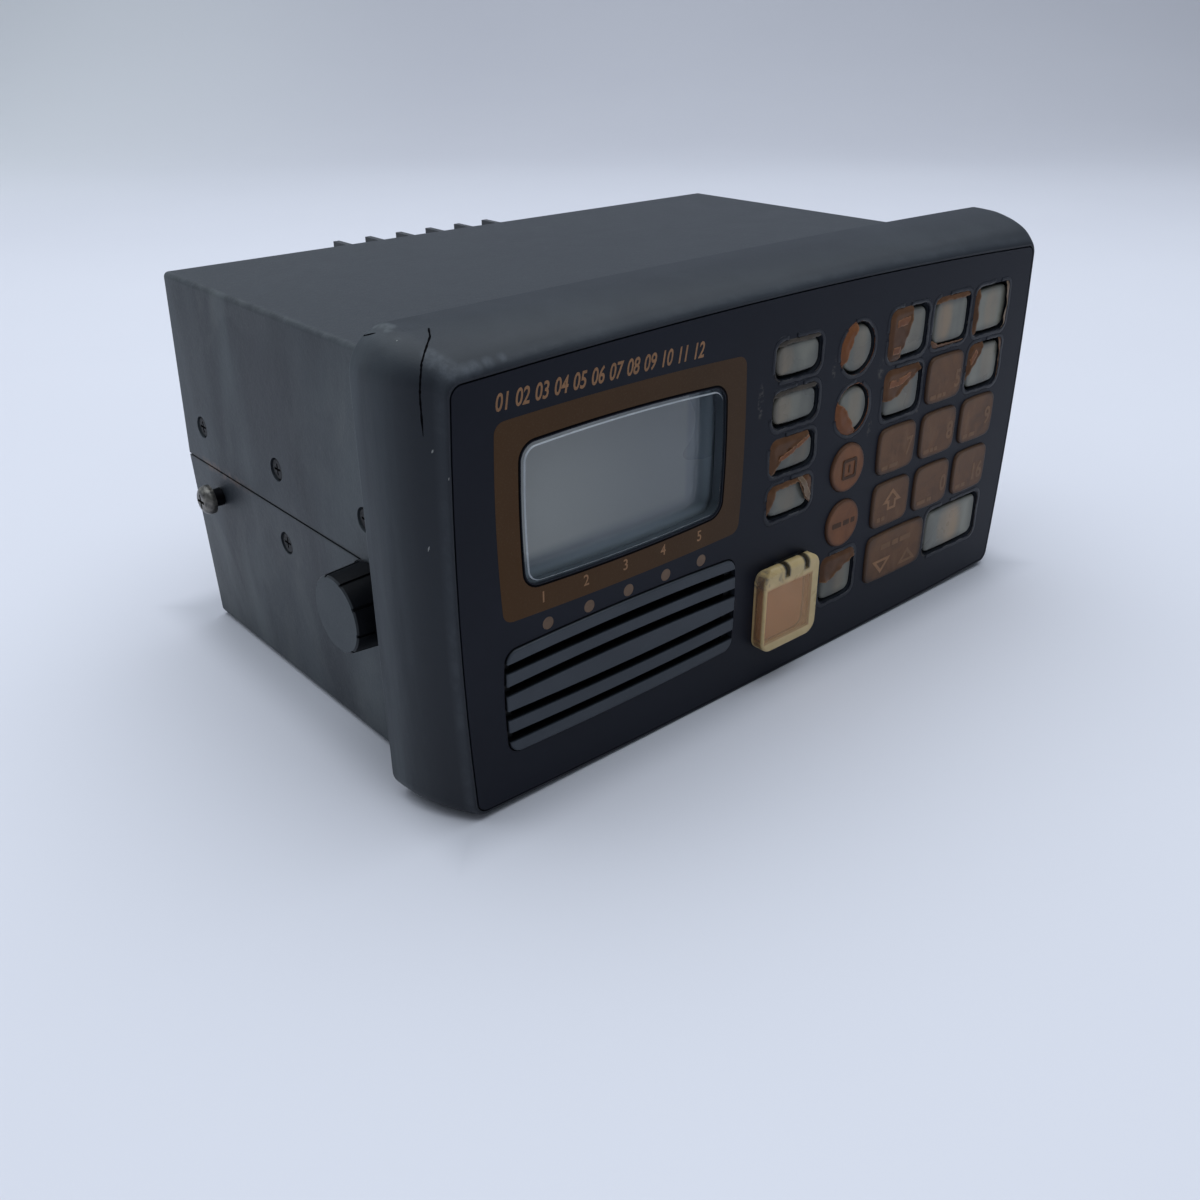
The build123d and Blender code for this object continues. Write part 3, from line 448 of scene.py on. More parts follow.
def bare_cap(name, cx, cz, hw, hh, warm_x, warm=0.6, pale=1.0):
    """Smoky translucent key cap laid bare: soft light and dark bands, a warm stain, a darker rim, faint dark specks."""
    g = Mat(name, rough=0.32, spec=0.26, coat=0.06, coat_rough=0.15)
    o = g.xyz()
    dx = g.math("DIVIDE", g.math("ABSOLUTE", g.math("SUBTRACT", o[0], cx * MM)), hw * MM)
    dz = g.math("DIVIDE", g.math("ABSOLUTE", g.math("SUBTRACT", o[2], (cz + SHIFT.z) * MM)), hh * MM)
    rim = g.span(g.math("MAXIMUM", dx, dz), 0.58, 1.0, 0.0, 1.0, smooth=True)
    band = g.noise(1.0, 1, 0.4, vec=g.stretch(170, 170, 36), dist=0.2)
    cloud = g.noise(120, 2, 0.5, dist=0.3)
    mixed = g.math("ADD", g.math("MULTIPLY", band, 0.6), g.math("MULTIPLY", cloud, 0.4))
    base = g.mix(g.span(mixed, 0.38, 0.62, smooth=True), tuple(c * pale for c in (0.116, 0.118, 0.102)), tuple(c * pale for c in (0.182, 0.180, 0.148)))
    stain = g.math("MULTIPLY", g.near(warm_x, cz, hw * 0.6, hh * 1.5), g.span(g.noise(1.0, 1, vec=g.stretch(220, 220, 40)), 0.25, 0.65, 0.3, 1.0))
    base = g.mix(g.math("MULTIPLY", stain, warm), base, tuple(c * pale for c in (0.27, 0.185, 0.110)))
    base = g.mix(g.math("MULTIPLY", rim, 0.62), base, (0.034, 0.037, 0.035))
    dirt = g.span(g.noise(1600, 3, 0.6), 0.62, 0.75)
    base = g.mix(g.math("MULTIPLY", dirt, 0.22), base, (0.045, 0.043, 0.038))
    g.color(base)
    g.rough(g.span(cloud, 0.3, 0.7, 0.24, 0.40))
    g.bump((g.noise(700, 3, 0.6), 0.00002, 0.25))
    return g.m


def lcd_panel():
    """Grey liquid-crystal cell: a lighter field with a darker margin below and at the right; the margin is painted
    lighter along its lower and right edges, painted light against the shade of the recess.
    """
    g = Mat("lcd_cell", rough=0.3, spec=0.4, coat=0.65, coat_rough=0.03)
    o = g.xyz()
    zc = SHIFT.z
    x_mm = g.math("MULTIPLY", o[0], 1000.0)
    z_mm = g.math("SUBTRACT", g.math("MULTIPLY", o[2], 1000.0), zc)
    floor_line = g.math("ADD", g.math("MULTIPLY", g.math("ADD", x_mm, 74.0), 0.013), 53.4)
    above = g.span(g.math("SUBTRACT", z_mm, floor_line), -1.5, 1.7, smooth=True)
    left_of = g.span(x_mm, -32.1, -30.6, 1.0, 0.0, smooth=True)
    field = g.math("MULTIPLY", above, left_of)
    margin = g.span(x_mm, -29.5, -23.5, 0.0, 1.0, smooth=True)
    cloud = g.noise(14, 3, 0.5)
    dark = g.mix(margin, (0.085, 0.104, 0.121), (0.078, 0.097, 0.113))
    # painted light: the margin is lightened along its lower and right edges, against the shade of the recess
    low = g.math("MULTIPLY", g.span(z_mm, 49.5, 52.6, 1.0, 0.0, smooth=True), 0.62)
    right = g.math("MULTIPLY", g.span(x_mm, -27.2, -24.2, smooth=True), 0.30)
    dark = g.mix(g.math("MAXIMUM", low, right), dark, (0.32, 0.38, 0.43))
    light = g.mix(g.span(x_mm, -78.0, -34.0, smooth=True), (0.205, 0.216, 0.208), (0.118, 0.132, 0.138))
    base = g.mix(field, dark, light)
    base = g.mix(g.math("MULTIPLY", g.span(cloud, 0.35, 0.65), 0.06), base, (0.19, 0.21, 0.21))
    g.color(base)
    g.rough(g.span(cloud, 0.3, 0.7, 0.25, 0.35))
    return g.m


def clear_lens():
    """Clear hard plastic window: its face is seen only by the gloss over the display, its bevelled edge is painted pale
    as a painted highlight.
    """
    g = Mat("clear_lens", color=(0.02, 0.025, 0.03), rough=0.2, spec=0.5)
    o = g.xyz()
    front_y = (-0.2 + SHIFT.y) * MM
    bevel = g.math("MULTIPLY", g.span(o[1], front_y + 0.00001, front_y + 0.00005), g.span(o[1], front_y + 0.00030, front_y + 0.00036, 1.0, 0.0))
    haze = g.span(g.noise(260, 3, 0.6), 0.35, 0.7)
    # painted highlight: pale colour on the bevel
    g.color(g.mix(haze, (0.42, 0.45, 0.48), (0.54, 0.57, 0.60)))
    g.put(g.p.inputs["Alpha"], g.math("MULTIPLY", bevel, 0.75))
    g.rough(g.span(haze, 0.0, 1.0, 0.20, 0.30))
    return g.m


def cover_plastic():
    """Once-clear plastic of the hinged cover, yellowed with age: cream where the wall is seen edge on, see-through in front."""
    g = Mat("yellowed_cover", rough=0.3, spec=0.4, coat=0.15, coat_rough=0.1)
    o = g.xyz()
    cx, cz = -1.075, 19.3
    right_of = g.span(o[0], (cx + 6.9) * MM, (cx + 7.7) * MM, smooth=True)
    left_of = g.span(o[0], (cx - 9.2) * MM, (cx - 9.6) * MM, 0.0, 1.0, smooth=True)
    below = g.span(o[2], (cz - 7.1 + SHIFT.z) * MM, (cz - 7.9 + SHIFT.z) * MM, 0.0, 1.0, smooth=True)
    above = g.span(o[2], (26.2 + SHIFT.z) * MM, (27.2 + SHIFT.z) * MM, smooth=True)
    front_face = g.span(o[1], (-3.0 + SHIFT.y) * MM, (-3.35 + SHIFT.y) * MM, 0.0, 1.0)
    knuckle = above
    line = g.math("MULTIPLY", g.span(o[0], (cx - 9.15) * MM, (cx - 9.4) * MM, 0.0, 1.0), front_face)
    thick = g.math("MAXIMUM", g.math("MAXIMUM", right_of, below), g.math("MAXIMUM", g.math("MAXIMUM", above, line), g.math("MULTIPLY", left_of, 0.75)))
    # the left wall shows the brown key through it, darkened further as painted shade
    wall = g.math("MULTIPLY", left_of, g.span(o[1], (-3.2 + SHIFT.y) * MM, (-2.9 + SHIFT.y) * MM))
    wall = g.math("MULTIPLY", wall, g.span(o[1], (-0.7 + SHIFT.y) * MM, (-1.1 + SHIFT.y) * MM, 0.0, 1.0))
    cloud = g.noise(140, 4, 0.6, dist=0.8)
    base = g.mix(g.span(cloud, 0.3, 0.7), (0.62, 0.33, 0.16), (0.72, 0.42, 0.215))
    base = g.mix(thick, base, g.mix(g.span(cloud, 0.3, 0.7), (0.49, 0.36, 0.165), (0.62, 0.47, 0.235)))
    base = g.mix(g.math("MULTIPLY", wall, 0.85), base, (0.27, 0.135, 0.075))
    mottle = g.math("MULTIPLY", knuckle, g.span(g.noise(330, 3, 0.6, dist=0.8), 0.50, 0.64))
    mottle = g.math("MULTIPLY", mottle, g.span(o[0], -0.0035, -0.0070, 0.0, 1.0))
    base = g.mix(g.math("MULTIPLY", mottle, 0.85), base, (0.14, 0.115, 0.10))
    # painted shade: the two slots by the hinge knuckle are painted dark
    slots = None
    for x in (-3.2, 3.9):
        m = g.span(g.math("ABSOLUTE", g.math("SUBTRACT", o[0], x * MM)), 0.0008, 0.0014, 1.0, 0.0, smooth=True)
        slots = m if slots is None else g.math("MAXIMUM", slots, m)
    slots = g.math("MULTIPLY", slots, g.span(o[2], (27.6 + SHIFT.z) * MM, (28.6 + SHIFT.z) * MM))
    base = g.mix(g.math("MULTIPLY", slots, 0.85), base, (0.055, 0.050, 0.045))
    g.color(base)
    alpha = g.math("ADD", 0.34, g.math("MULTIPLY", thick, 0.52))
    g.put(g.p.inputs["Alpha"], g.math("SUBTRACT", alpha, g.math("MULTIPLY", wall, 0.25)))
    g.rough(g.span(cloud, 0.3, 0.7, 0.22, 0.38))
    g.bump((g.noise(500, 3, 0.6), 0.00005, 0.3))
    return g.m


def knob_plastic():
    """Black fluted knob: side painted near black as painted shade, flat face grey, a thin painted highlight round the
    edge of the face.
    """
    g = Mat("knob_plastic", rough=0.4, spec=0.12)
    o = g.xyz()
    cloud = g.noise(90, 4, 0.6, dist=0.3)
    fine = g.noise(2600, 2, 0.5)
    out = g.math("ABSOLUTE", o[0])
    face = g.span(out, 0.10332, 0.10339)
    edge = g.math("MULTIPLY", g.span(out, 0.10295, 0.10305), g.span(out, 0.10337, 0.10330, 0.0, 1.0))
    # side near black: painted shade
    base = g.mix(g.span(cloud, 0.3, 0.7), (0.0030, 0.0034, 0.0048), (0.0052, 0.0058, 0.0076))
    base = g.mix(face, base, g.mix(g.span(cloud, 0.3, 0.7), (0.042, 0.050, 0.057), (0.056, 0.065, 0.072)))
    # painted highlight: a thin lighter line round the edge of the face
    base = g.mix(g.math("MULTIPLY", edge, g.span(g.noise(120, 2, 0.5), 0.3, 0.7, 0.15, 0.5)), base, (0.075, 0.083, 0.092))
    g.color(base)
    g.rough(g.span(fine, 0.3, 0.7, 0.36, 0.48))
    g.bump((fine, 0.00004, 0.4))
    return g.m


def bolt_metal():
    """Bolt of the bracket slot: dull bronze head, the shank painted near black as painted shade."""
    g = Mat("bolt_metal", metal=0.85, rough=0.35, spec=0.5)
    o = g.xyz()
    out = g.span(g.math("ABSOLUTE", o[0]), 0.0970, 0.0972)
    cloud = g.noise(420, 4, 0.65, dist=0.5)
    base = g.mix(g.span(cloud, 0.36, 0.64), (0.060, 0.058, 0.056), (0.24, 0.225, 0.20))
    # shank painted near black: painted shade beside the head
    g.color(g.mix(out, (0.006, 0.006, 0.008), base))
    g.rough(g.span(cloud, 0.3, 0.7, 0.26, 0.5))
    g.bump((cloud, 0.00005, 0.4))
    return g.m


def thread_metal(name, low, high, rough=(0.22, 0.38), metal=1.0):
    g = Mat(name, metal=metal)
    cloud = g.noise(120, 4, 0.6)
    fine = g.noise(3000, 2)
    g.color(g.mix(g.span(cloud, 0.3, 0.7), low, high))
    g.rough(g.span(g.math("ADD", g.math("MULTIPLY", cloud, 0.6), g.math("MULTIPLY", fine, 0.4)), 0.3, 0.7, *rough))
    g.bump((g.noise(1.0, 2, vec=g.stretch(400, 4000, 400)), 0.00002, 0.3))
    return g.m


def board_mask():
    g = Mat("board_mask", rough=0.3, coat=0.2)
    o = g.xyz()
    lines = g.span(g.voronoi(260, feature="DISTANCE_TO_EDGE", rand=0.35), 0.03, 0.07, 1.0, 0.0)
    base = g.mix(g.math("MULTIPLY", lines, 0.6), (0.012, 0.075, 0.035), (0.03, 0.15, 0.07))
    pads = g.span(g.voronoi(420), 0.0, 0.16, 1.0, 0.0)
    base = g.mix(g.math("MULTIPLY", pads, g.span(g.noise(40, 1), 0.5, 0.55)), base, (0.55, 0.52, 0.45))
    g.color(base)
    g.bump((lines, 0.00003, 0.4))
    return g.m


M = {
    "case": case_paint(),
    "bezel": bezel_plastic(),
    "overlay": overlay_film(),
    "brown": brown_print(),
    "copper": copper_ink(),
    "copper_dim": copper_ink("copper_ink_dim", 0.66),
    "film": key_film("film_brown", (0.070, 0.031, 0.014), (0.118, 0.054, 0.025), torn=(0.21, 0.12, 0.068)),
    "film_copper": key_film("film_copper", (0.130, 0.046, 0.018), (0.200, 0.076, 0.030), torn=(0.30, 0.15, 0.075)),
    "film_tan": key_film("film_tan", (0.12, 0.080, 0.052), (0.20, 0.14, 0.095), torn=(0.26, 0.19, 0.13)),
    "film_edge": key_film("film_edge", (0.040, 0.034, 0.030), (0.075, 0.062, 0.050), torn=(0.10, 0.085, 0.07)),
    "dark_ink": simple("dark_ink", (0.050, 0.024, 0.013), (0.075, 0.036, 0.019), 400, rough=(0.4, 0.5), spec=0.12),
    "ridge": ridge_film("ridge_torn", (0.105, 0.105, 0.105)),
    "lcd": lcd_panel(),
    "lens": clear_lens(),
    "backlight": simple("backlight_sheet", (0.70, 0.70, 0.62), (0.8, 0.8, 0.74), 90),
    "window_tan": simple("lamp_window_tan", (0.085, 0.044, 0.020), (0.125, 0.067, 0.032), 500, rough=(0.3, 0.42), coat=0.2),
    "lamp": simple("lamp_clear", (0.55, 0.55, 0.5), (0.7, 0.7, 0.62), 600),
    "grille": grille_plastic(),
    "steel_dark": simple("steel_black", (0.022, 0.022, 0.024), (0.06, 0.058, 0.056), 500, rough=(0.3, 0.48), metal=0.8, grain=1800),
    "steel": thread_metal("steel_plated", (0.50, 0.49, 0.47), (0.62, 0.61, 0.59)),
    "nickel": thread_metal("nickel_plated", (0.34, 0.33, 0.31), (0.50, 0.48, 0.45), rough=(0.18, 0.34)),
    "brass": thread_metal("brass_dull", (0.42, 0.29, 0.12), (0.60, 0.44, 0.20)),
    "cone": simple("cone_paper", (0.02, 0.02, 0.02), (0.035, 0.034, 0.032), 200, rough=(0.7, 0.85), grain=900, grain_depth=0.00008),
    "magnet": simple("magnet_black", (0.03, 0.03, 0.032), (0.05, 0.05, 0.052), 80),
    "mat": simple("mat_silicone", (0.30, 0.31, 0.29), (0.38, 0.39, 0.36), 100, rough=(0.5, 0.6)),
    "gasket": simple("gasket_rubber", (0.015, 0.015, 0.015), (0.028, 0.028, 0.028), 300, rough=(0.6, 0.75)),
    "board": board_mask(),
    "black": simple("black_moulding", (0.014, 0.015, 0.017), (0.024, 0.025, 0.028), 150, rough=(0.32, 0.46)),
    "knob": knob_plastic(),
    "bolt": bolt_metal(),
    "screw_black": simple("screw_black", (0.0030, 0.0033, 0.0040), (0.0110, 0.0110, 0.0115), 900, rough=(0.34, 0.5), grain=1800, spec=0.12),
    "sink": simple("sink_black", (0.024, 0.027, 0.031), (0.045, 0.049, 0.054), 70, rough=(0.36, 0.5), grain=1600, grain_depth=0.00006),
    "cover": cover_plastic(),
    "crack": simple("crack_dark", (0.0012, 0.0012, 0.0016), (0.003, 0.003, 0.004), 900, rough=(0.8, 0.95), spec=0.02),
    "scuff": simple("scuff_pale", (0.16, 0.165, 0.165), (0.30, 0.30, 0.29), 1200, rough=(0.5, 0.65)),
}


def dress(node, mat):
    o = nodes[node]
    o.data.materials.clear()
    o.data.materials.append(mat)


# key table: name, centre x, centre z, opening width, opening height, kind
KEYS = {}
for k in range(4):
    KEYS[f"key_soft_{k + 1}"] = (-0.45, 81.0 - 11.35 * k, 16.0, 9.1, "bare")
for k, kind in enumerate(("bare", "bare", "film", "film")):
    KEYS[f"key_round_{k + 1}"] = (20.9, 79.0 - 14.92 * k, 12.9, 12.9, kind)
KEYS["key_square"] = (20.9, 19.4, 13.9, 13.3, "bare")
for k, (label, kind) in enumerate((("1", "bare"), ("2", "bare"), ("3", "bare"), ("4", "bare"), ("5", "film"), ("6", "bare"),
                                   ("7", "film"), ("8", "film"), ("9", "film"), ("shift", "film"), ("0", "film"), ("16", "film"))):
    KEYS[f"key_{label}"] = (40.7 + 18.02 * (k % 3), 79.4 - 14.95 * (k // 3), 15.8, 13.0, kind)
KEYS["key_wide_left"] = (45.1, 19.2, 25.3, 14.2, "film")
KEYS["key_wide_right"] = (71.9, 19.2, 25.3, 14.2, "bare")
KEYS["distress_key"] = (-1.2, 18.1, 16.6, 15.6, "film")

WARM = {"key_soft_1": (-5.5, 0.5, 1.0), "key_soft_2": (-5.0, 0.4, 1.0), "key_soft_3": (2.0, 0.3, 0.8), "key_soft_4": (-1.0, 0.3, 1.0),
        "key_round_1": (22.0, 0.3, 1.0), "key_round_2": (22.0, 0.35, 1.0), "key_square": (22.0, 0.3, 0.85),
        "key_1": (43.0, 0.3, 0.95), "key_2": (56.0, 0.75, 1.05), "key_3": (77.0, 0.35, 1.1), "key_4": (42.0, 0.3, 0.9),
        "key_6": (79.0, 0.35, 1.05), "key_wide_right": (72.0, 0.8, 1.25)}

for name, mat in {"upper_case": "case", "lower_case": "case", "front_bezel": "bezel", "front_overlay": "overlay", "display_window": "lens",
                  "display_panel": "lcd", "display_backlight": "backlight", "indicator_windows": "window_tan", "indicator_lamps": "lamp",
                  "speaker_grille": "grille", "speaker_frame": "steel_dark", "speaker_cone": "cone", "speaker_magnet": "magnet",
                  "keypad_mat": "mat", "front_circuit_board": "board", "bezel_gasket": "gasket", "cover_hinge_base": "black",
                  "cover_hinge_pin": "steel", "rear_heat_sink": "sink", "antenna_socket": "nickel", "power_inlet_gland": "black",
                  "data_socket": "nickel", "main_circuit_board": "board", "shield_can": "steel", "power_amplifier": "steel",
                  "case_screws": "screw_black", "board_screws": "steel", "knob_inserts": "brass", "bracket_bolts": "bolt",
                  "distress_cover": "cover", "knob_washer_left": "steel", "knob_washer_right": "steel", "clamp_knob_left": "knob",
                  "clamp_knob_right": "knob", "knob_stud_left": "steel", "knob_stud_right": "steel"}.items():
    dress(name, M[mat])
for name, (x, z, w, h, kind) in KEYS.items():
    at = (x, z, w / 2 - 0.12, h / 2 - 0.12)
    if name == "distress_key":
        dress(name, key_film("film_" + name, (0.36, 0.150, 0.070), (0.46, 0.200, 0.098), torn=(0.50, 0.26, 0.14)))
    elif name in ("key_round_3", "key_round_4"):
        dress(name, key_film("film_" + name, (0.120, 0.045, 0.018), (0.190, 0.074, 0.030), torn=(0.24, 0.115, 0.055), at=at))
    elif kind == "film":
        dress(name, key_film("film_" + name, (0.078, 0.036, 0.016), (0.133, 0.063, 0.029), torn=(0.22, 0.118, 0.060), at=at))
    else:
        wx, warm, pale = WARM[name]
        dress(name, bare_cap("cap_" + name, x, z, w / 2 - 0.8, h / 2 - 0.8, wx, warm, pale))


# ------------------------------------------------------------------ building pieces
def finish_piece(name, mesh, mats, body, smooth=False):
    o = bpy.data.objects.new(name, mesh)
    bpy.context.scene.collection.objects.link(o)
    for m in mats if isinstance(mats, (list, tuple)) else [mats]:
        mesh.materials.append(m)
    if smooth:
        for p in mesh.polygons:
            p.use_smooth = True
    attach(o, body)
    return o


def to_face(mesh, y_mid):
    """Turns a mesh drawn in X and Y, in mm, upright so that it lies on the front at depth y_mid."""
    for v in mesh.vertices:
        x, y, z = v.co
        v.co = D(x, y_mid - z, y)


def curve_mesh(data):
    o = bpy.data.objects.new("tmp_curve", data)
    bpy.context.scene.collection.objects.link(o)
    bpy.context.view_layer.update()
    mesh = bpy.data.meshes.new_from_object(o.evaluated_get(bpy.context.evaluated_depsgraph_get()))
    bpy.data.objects.remove(o)
    bpy.data.curves.remove(data)
    mesh.materials.clear()
    return mesh


def flat(name, loops, y_front, thick, mat, body, bevel=0.0):
    """A thin plate on the front: closed loops in mm, inner loops are holes."""
    c = bpy.data.curves.new("tmp", "CURVE")
    c.dimensions = "2D"
    c.fill_mode = "BOTH"
    c.extrude = max(thick / 2 - bevel, 0.0)
    c.bevel_depth = bevel
    c.bevel_resolution = 1
    c.offset = -bevel
    for loop in loops:
        s = c.splines.new("POLY")
        s.points.add(len(loop) - 1)
        for p, (x, z) in zip(s.points, loop):
            p.co = (x, z, 0, 1)
        s.use_cyclic_u = True
    mesh = curve_mesh(c)
    to_face(mesh, y_front + thick / 2)
    return finish_piece(name, mesh, mat, body)


def figure(name, text, x, z, size, y_front, mat, body, shear=0.0, bold=0.02, thick=0.04, squeeze=0.9, centre=False):
    """Plain numerals on the front. x, z: lower left (or lower middle) of the text, size: height of a numeral, in mm."""
    c = bpy.data.curves.new("tmp", "FONT")
    c.body = text
    c.size = size / 0.71
    c.shear = shear
    c.offset = bold * size
    c.extrude = thick / 2
    c.resolution_u = 4
    mesh = curve_mesh(c)
    xs = [v.co.x for v in mesh.vertices]
    zs = [v.co.y for v in mesh.vertices]
    lo, hi, zlo = min(xs), max(xs), min(zs)
    start = (lo + hi) / 2 if centre else 0.0
    for v in mesh.vertices:
        v.co.x = (v.co.x - start) * squeeze + x
        v.co.y = v.co.y - zlo + z
    to_face(mesh, y_front + thick / 2)
    return finish_piece(name, mesh, mat, body)


def rounded(x0, x1, z0, z1, r, bow_x=0.0, bow_z=0.0, n=6):
    """Closed loop of a rounded rectangle whose sides bow outward, counter-clockwise."""
    xc, zc, hx, hz = (x0 + x1) / 2, (z0 + z1) / 2, (x1 - x0) / 2, (z1 - z0) / 2
    pts = []
    for cx, cz, a0 in ((hx - r, hz - r, 0), (-hx + r, hz - r, 90), (-hx + r, -hz + r, 180), (hx - r, -hz + r, 270)):
        for k in range(n + 1):
            a = math.radians(a0 + 90 * k / n)
            pts.append((cx + r * math.cos(a), cz + r * math.sin(a)))
    fine = []
    for i, (x, z) in enumerate(pts):
        x2, z2 = pts[(i + 1) % len(pts)]
        steps = max(1, int(math.hypot(x2 - x, z2 - z) / 2.0))
        for s in range(steps):
            fine.append((x + (x2 - x) * s / steps, z + (z2 - z) * s / steps))
    out = []
    for x, z in fine:
        bx = bow_x * (1 - (z / hz) ** 2) * (x / hx)
        bz = bow_z * (1 - (x / hx) ** 2) * (z / hz)
        out.append((xc + x + bx, zc + z + bz))
    return out


def sdf_round(x, z, cx, cz, w, h, r):
    """Distance inside (positive) a rounded rectangle."""
    qx, qz = abs(x - cx) - (w / 2 - r), abs(z - cz) - (h / 2 - r)
    return -(math.hypot(max(qx, 0), max(qz, 0)) + min(max(qx, qz), 0) - r)


def sdf_poly(x, z, poly):
    """Distance inside (positive) a polygon."""
    best, inside = 1e9, False
    n = len(poly)
    for i in range(n):
        ax, az = poly[i]
        bx, bz = poly[(i + 1) % n]
        dx, dz = bx - ax, bz - az
        t = max(0.0, min(1.0, ((x - ax) * dx + (z - az) * dz) / (dx * dx + dz * dz)))
        best = min(best, math.hypot(x - ax - t * dx, z - az - t * dz))
        if (az > z) != (bz > z) and x < (bx - ax) * (z - az) / (bz - az) + ax:
            inside = not inside
    return best if inside else -best


def ragged(poly, step=0.55, size=0.16, seed=1):
    """The polygon with its edges broken up, as torn film is."""
    r = random.Random(seed)
    out = []
    for i, (ax, az) in enumerate(poly):
        bx, bz = poly[(i + 1) % len(poly)]
        length = math.hypot(bx - ax, bz - az)
        n = max(1, int(length / step))
        for k in range(n):
            t = k / n
            j = 0.0 if k == 0 else r.uniform(-size, size)
            out.append((ax + (bx - ax) * t - (bz - az) / length * j, az + (bz - az) * t + (bx - ax) / length * j))
    return out


def film_patch(name, key, poly, mat, body="set", crown=0.62, curl=0.3, seed=1, grow=0.0, base=0.0, thick=0.10, rim=None):
    """What is left of the film over one key: the part of the opening inside poly, crowned like the whole film and curled at its tear.
    poly is in drawing mm. rim=(a, b) keeps only a band between a and b inside the opening's edge."""
    x, z, w, h, kind = KEYS[key]
    r = w / 2 - 0.01 if key.startswith("key_round") else 2.4
    poly = ragged(poly, seed=seed) if poly else None
    nx, nz = max(20, int(w / 0.36)), max(20, int(h / 0.36))
    x0, z0 = x - w / 2 - grow - 0.05, z - h / 2 - grow - 0.05
    sx, sz = (w + 2 * grow + 0.1) / nx, (h + 2 * grow + 0.1) / nz
    rand = random.Random(seed * 13 + 5)
    phase = [rand.uniform(0, 6.28) for _ in range(4)]
    pts = {}

    def point(i, j):
        if (i, j) not in pts:
            px, pz = x0 + sx * i, z0 + sz * j
            do = sdf_round(px, pz, x, z, w + 2 * grow, h + 2 * grow, r + grow)
            dp = sdf_poly(px, pz, poly) if poly else 9.0
            f = min(do, dp)
            if rim:
                f = min(f, do - rim[0], rim[1] - do)
            pts[(i, j)] = (px, pz, f, do, dp)
        return pts[(i, j)]

    def depth(px, pz, do, dp):
        t = max(0.0, min(1.0, (do - grow) / 1.3))
        y = base - crown * t * t * (3 - 2 * t)
        wave = 0.5 + 0.5 * math.sin(px * 1.7 + phase[0]) * math.sin(pz * 1.3 + phase[1])
        y -= curl * math.exp(-max(dp, 0) / 0.7) * wave * t
        y -= 0.05 * math.sin(px * 0.9 + phase[2]) * math.sin(pz * 1.1 + phase[3]) * t
        return y

    mesh = bpy.data.meshes.new(name)
    bm = bmesh.new()
    layer = bm.verts.layers.float.new("tear")
    made = {}

    def vert(p):
        k = (round(p[0], 4), round(p[1], 4))
        if k not in made:
            v = bm.verts.new(D(p[0], depth(p[0], p[1], p[3], p[4]), p[1]))
            v[layer] = math.exp(-max(p[4], 0) / 0.28)
            made[k] = v
        return made[k]

    def clip(tri):
        out = []
        for a, b in zip(tri, tri[1:] + tri[:1]):
            if a[2] >= 0:
                out.append(a)
            if (a[2] >= 0) != (b[2] >= 0):
                t = a[2] / (a[2] - b[2])
                out.append(tuple(u + (v - u) * t for u, v in zip(a, b)))
        return out

    for i in range(nx):
        for j in range(nz):
            a, b, c, d = point(i, j), point(i + 1, j), point(i + 1, j + 1), point(i, j + 1)
            if max(a[2], b[2], c[2], d[2]) <= 0:
                continue
            quads = [[a, b, c, d]] if min(a[2], b[2], c[2], d[2]) >= 0 else [clip([a, b, c]), clip([a, c, d])]
            for q in quads:
                vs = []
                for p in q:
                    v = vert(p)
                    if v not in vs:
                        vs.append(v)
                if len(vs) >= 3:
                    try:
                        bm.faces.new(vs)
                    except ValueError:
                        pass
    bmesh.ops.recalc_face_normals(bm, faces=bm.faces)
    if bm.faces:
        bm.faces.ensure_lookup_table()
        if sum(f.normal.y for f in bm.faces) > 0:
            bmesh.ops.reverse_faces(bm, faces=bm.faces)
    bm.to_mesh(mesh)
    bm.free()
    o = finish_piece(name, mesh, mat, body, smooth=True)
    s = o.modifiers.new("thickness", "SOLIDIFY")
    s.thickness = thick * MM
    s.offset = -1.0
    return o


